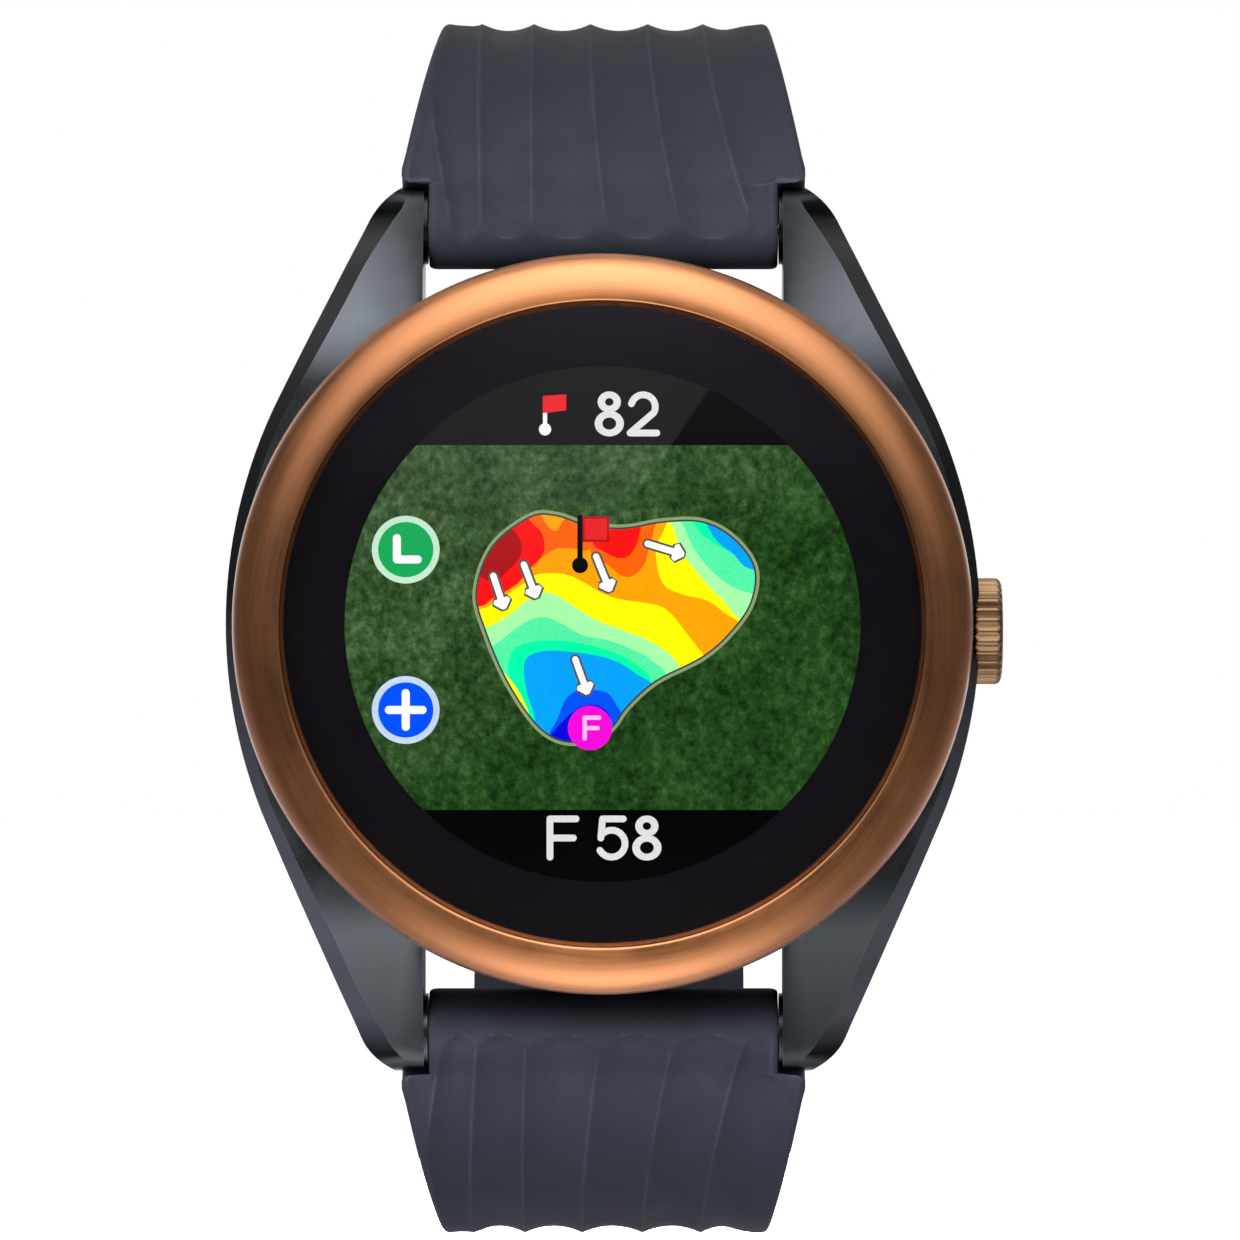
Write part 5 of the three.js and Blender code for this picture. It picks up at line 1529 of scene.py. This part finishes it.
def stage_floor():
    """A pale floor under the lowest point that the lower strap swings to, seen only from above."""
    size, below = 3.0, -0.09
    corners = [(-size, -size, below), (size, -size, below), (size, size, below),
               (-size, size, below)]
    mesh = bpy.data.meshes.new("floor")
    mesh.from_pydata(corners, [], [(0, 1, 2, 3)])
    floor = bpy.data.objects.new("floor", mesh)
    bpy.context.scene.collection.objects.link(floor)
    material = bpy.data.materials.new("floor")
    material.use_nodes = True
    n = Nodes(material.node_tree)
    cloud = n.noise(n.position(), 6.0)
    pale = n.add("BsdfDiffuse", {"Color": n.ramp(cloud, [(0.3, srgb(216, 216, 218)),
                                                        (0.7, srgb(226, 226, 226))])})
    lit = n.add("Emission", {"Color": (1, 1, 1, 1), "Strength": 0.74})
    both = n.add("AddShader", {0: pale.outputs[0], 1: lit.outputs[0]})
    clear = n.add("BsdfTransparent")
    seen = n.add("LightPath").outputs["Is Camera Ray"]
    front = n.math("SUBTRACT", 1.0, n.add("NewGeometry").outputs["Backfacing"])
    mixed = n.add("MixShader", {0: n.math("MULTIPLY", seen, front), 1: clear.outputs[0],
                                2: both.outputs[0]})
    n.add("OutputMaterial", {"Surface": mixed.outputs[0]})
    floor.data.materials.append(material)


def grey(level):
    return (level, level, level, 1)


def world():
    """White to the camera. To reflections, a studio: a broad light above and in front, a narrower
    one below, dark sides, darkness behind the watch broken by one upright panel, and a dim cool
    glow from the floor there. To matt surfaces, light that comes mostly from the front."""
    scene = bpy.context.scene
    scene.world = bpy.data.worlds.new("studio")
    scene.world.use_nodes = True
    n = Nodes(scene.world.node_tree)
    x, y, z = n.add("SeparateXYZ", {"Vector": n.add("TexCoord").outputs["Generated"]}).outputs
    height = n.span(z, -1, 1, 0, 1)
    vertical = n.ramp(height, [(0.0, grey(0.80)), (0.07, grey(0.72)), (0.17, grey(0.32)),
                               (0.33, grey(0.08)), (0.45, grey(0.02)), (0.53, grey(0.02)),
                               (0.57, grey(0.10)), (0.65, grey(0.49)), (0.80, grey(0.88)),
                               (1.0, grey(1.0))], "EASE")
    wide = n.ramp(n.math("ABSOLUTE", x), [(0.0, grey(1.0)), (0.24, grey(0.85)),
                                          (0.57, grey(0.38)), (0.81, grey(0.03)),
                                          (1.0, grey(0.01))])
    rearward = n.span(y, -0.1, 0.25, 0.0, 1.0)
    below = n.span(z, 0.0, -0.25, 0.0, 0.8)
    sideways = n.mix(n.math("MAXIMUM", rearward, below), wide, n.mix(1.0, wide, wide, "MULTIPLY"))
    behind = n.ramp(n.span(y, -1, 1, 0, 1), [(0.0, grey(1.0)), (0.45, grey(1.0)),
                                             (0.55, grey(0.30)), (0.72, grey(0.06))])
    studio = n.mix(1.0, n.mix(1.0, vertical, sideways, "MULTIPLY"), behind, "MULTIPLY")
    front_rim = n.math("MULTIPLY", n.span(y, -1.0, -0.8, 0.0, 1.0), 0.04)
    glow = n.math("MULTIPLY", n.span(y, -0.15, 0.35, 0.0, 1.0), n.span(z, 0.0, -0.35, 0.0, 0.15))
    cool = n.mix(1.0, srgb(196, 196, 222), n.add("CombineColor", {0: glow, 1: glow, 2: glow}
                                                 ).outputs[0], "MULTIPLY")
    rear_panel = n.math("MULTIPLY", n.span(y, 0.55, 0.88, 0.0, 0.36), n.span(z, -0.6, 0.4, 0.45, 1.0))
    rear_panel = n.math("MULTIPLY", rear_panel,
                        n.span(n.math("ABSOLUTE", x), 0.6, 0.8, 1.0, 0.08))
    edges = n.math("ADD", front_rim, rear_panel)
    rim = n.add("CombineColor", {0: edges, 1: edges, 2: edges}).outputs[0]
    shiny = n.mix(1.0, n.mix(1.0, studio, cool, "ADD"), rim, "ADD")
    reflected = n.add("Background", {"Color": shiny, "Strength": 3.2})
    facing = n.span(y, 0.0, -1.0, 0.0, 1.0)
    front_level = n.math("MULTIPLY", n.math("MULTIPLY", facing, facing), 2.05)
    matt_level = n.math("ADD", front_level, n.span(y, 0.3, 1.0, 0.04, 0.9))
    hue = n.mix(height, srgb(238, 236, 255), srgb(255, 254, 252))
    matt = n.add("Background", {"Color": hue, "Strength": matt_level})
    white = n.add("Background", {"Color": (1, 1, 1, 1), "Strength": 1.0})
    path = n.add("LightPath").outputs
    lit = n.add("MixShader", {0: path["Is Diffuse Ray"], 1: reflected.outputs[0],
                              2: matt.outputs[0]})
    mixed = n.add("MixShader", {0: path["Is Camera Ray"], 1: lit.outputs[0],
                                2: white.outputs[0]})
    n.add("OutputWorld", {"Surface": mixed.outputs[0]})


def area_light(name, place, target, size, power):
    """A square light, not seen by the camera or in reflections."""
    light = bpy.data.lights.new(name, "AREA")
    light.shape = "RECTANGLE"
    light.size = size
    light.size_y = size
    light.energy = power
    made = bpy.data.objects.new(name, light)
    bpy.context.scene.collection.objects.link(made)
    made.location = place
    made.rotation_mode = "QUATERNION"
    made.rotation_quaternion = (Vector(target) - Vector(place)).to_track_quat("-Z", "Y")
    made.visible_camera = False
    made.visible_glossy = False


def lights():
    centre = (0, 0, 0)
    area_light("key", (-0.35, -0.5, 0.3), centre, 0.3, 1.6)
    area_light("back", (-0.2, 0.75, 0.05), centre, 0.5, 12.0)


def camera():
    """Level with the watch, straight in front of its display."""
    face_width, distance, face_height = 77.1, 480.0, 11.0
    middle_x, stand_x, middle_z = 1.09, 4.0, 0.25
    target = Vector((stand_x, -face_height, middle_z))
    data = bpy.data.cameras.new("camera")
    data.sensor_width = 36.0
    data.lens = data.sensor_width * distance / face_width
    data.shift_x = (middle_x - stand_x) / face_width
    made = bpy.data.objects.new("camera", data)
    bpy.context.scene.collection.objects.link(made)
    made.location = (target + Vector((0, -distance, 0))) * MM
    made.rotation_euler = (math.pi / 2, 0, 0)
    data.clip_start, data.clip_end = 0.01, 20
    bpy.context.scene.camera = made
    bpy.context.scene.view_settings.view_transform = "Standard"


# ---- Build ------------------------------------------------------------------------------------

make_materials()
case_body()
bezel()
crystal()
printed_border()
display_picture()
crown_button()
back_cover()
back_screws()
charge_contacts()
upper_strap()
lower_strap()
keeper("keeper_fixed", UPPER_LINE.length - FIXED_KEEPER_BACK, "upper_strap", "fixed_keeper")
keeper("keeper_free", UPPER_LINE.length - FREE_KEEPER_BACK, "free_keeper", "free_keeper")
buckle()
tongue()
finish_cad_nodes()
stage_floor()
world()
lights()
camera()
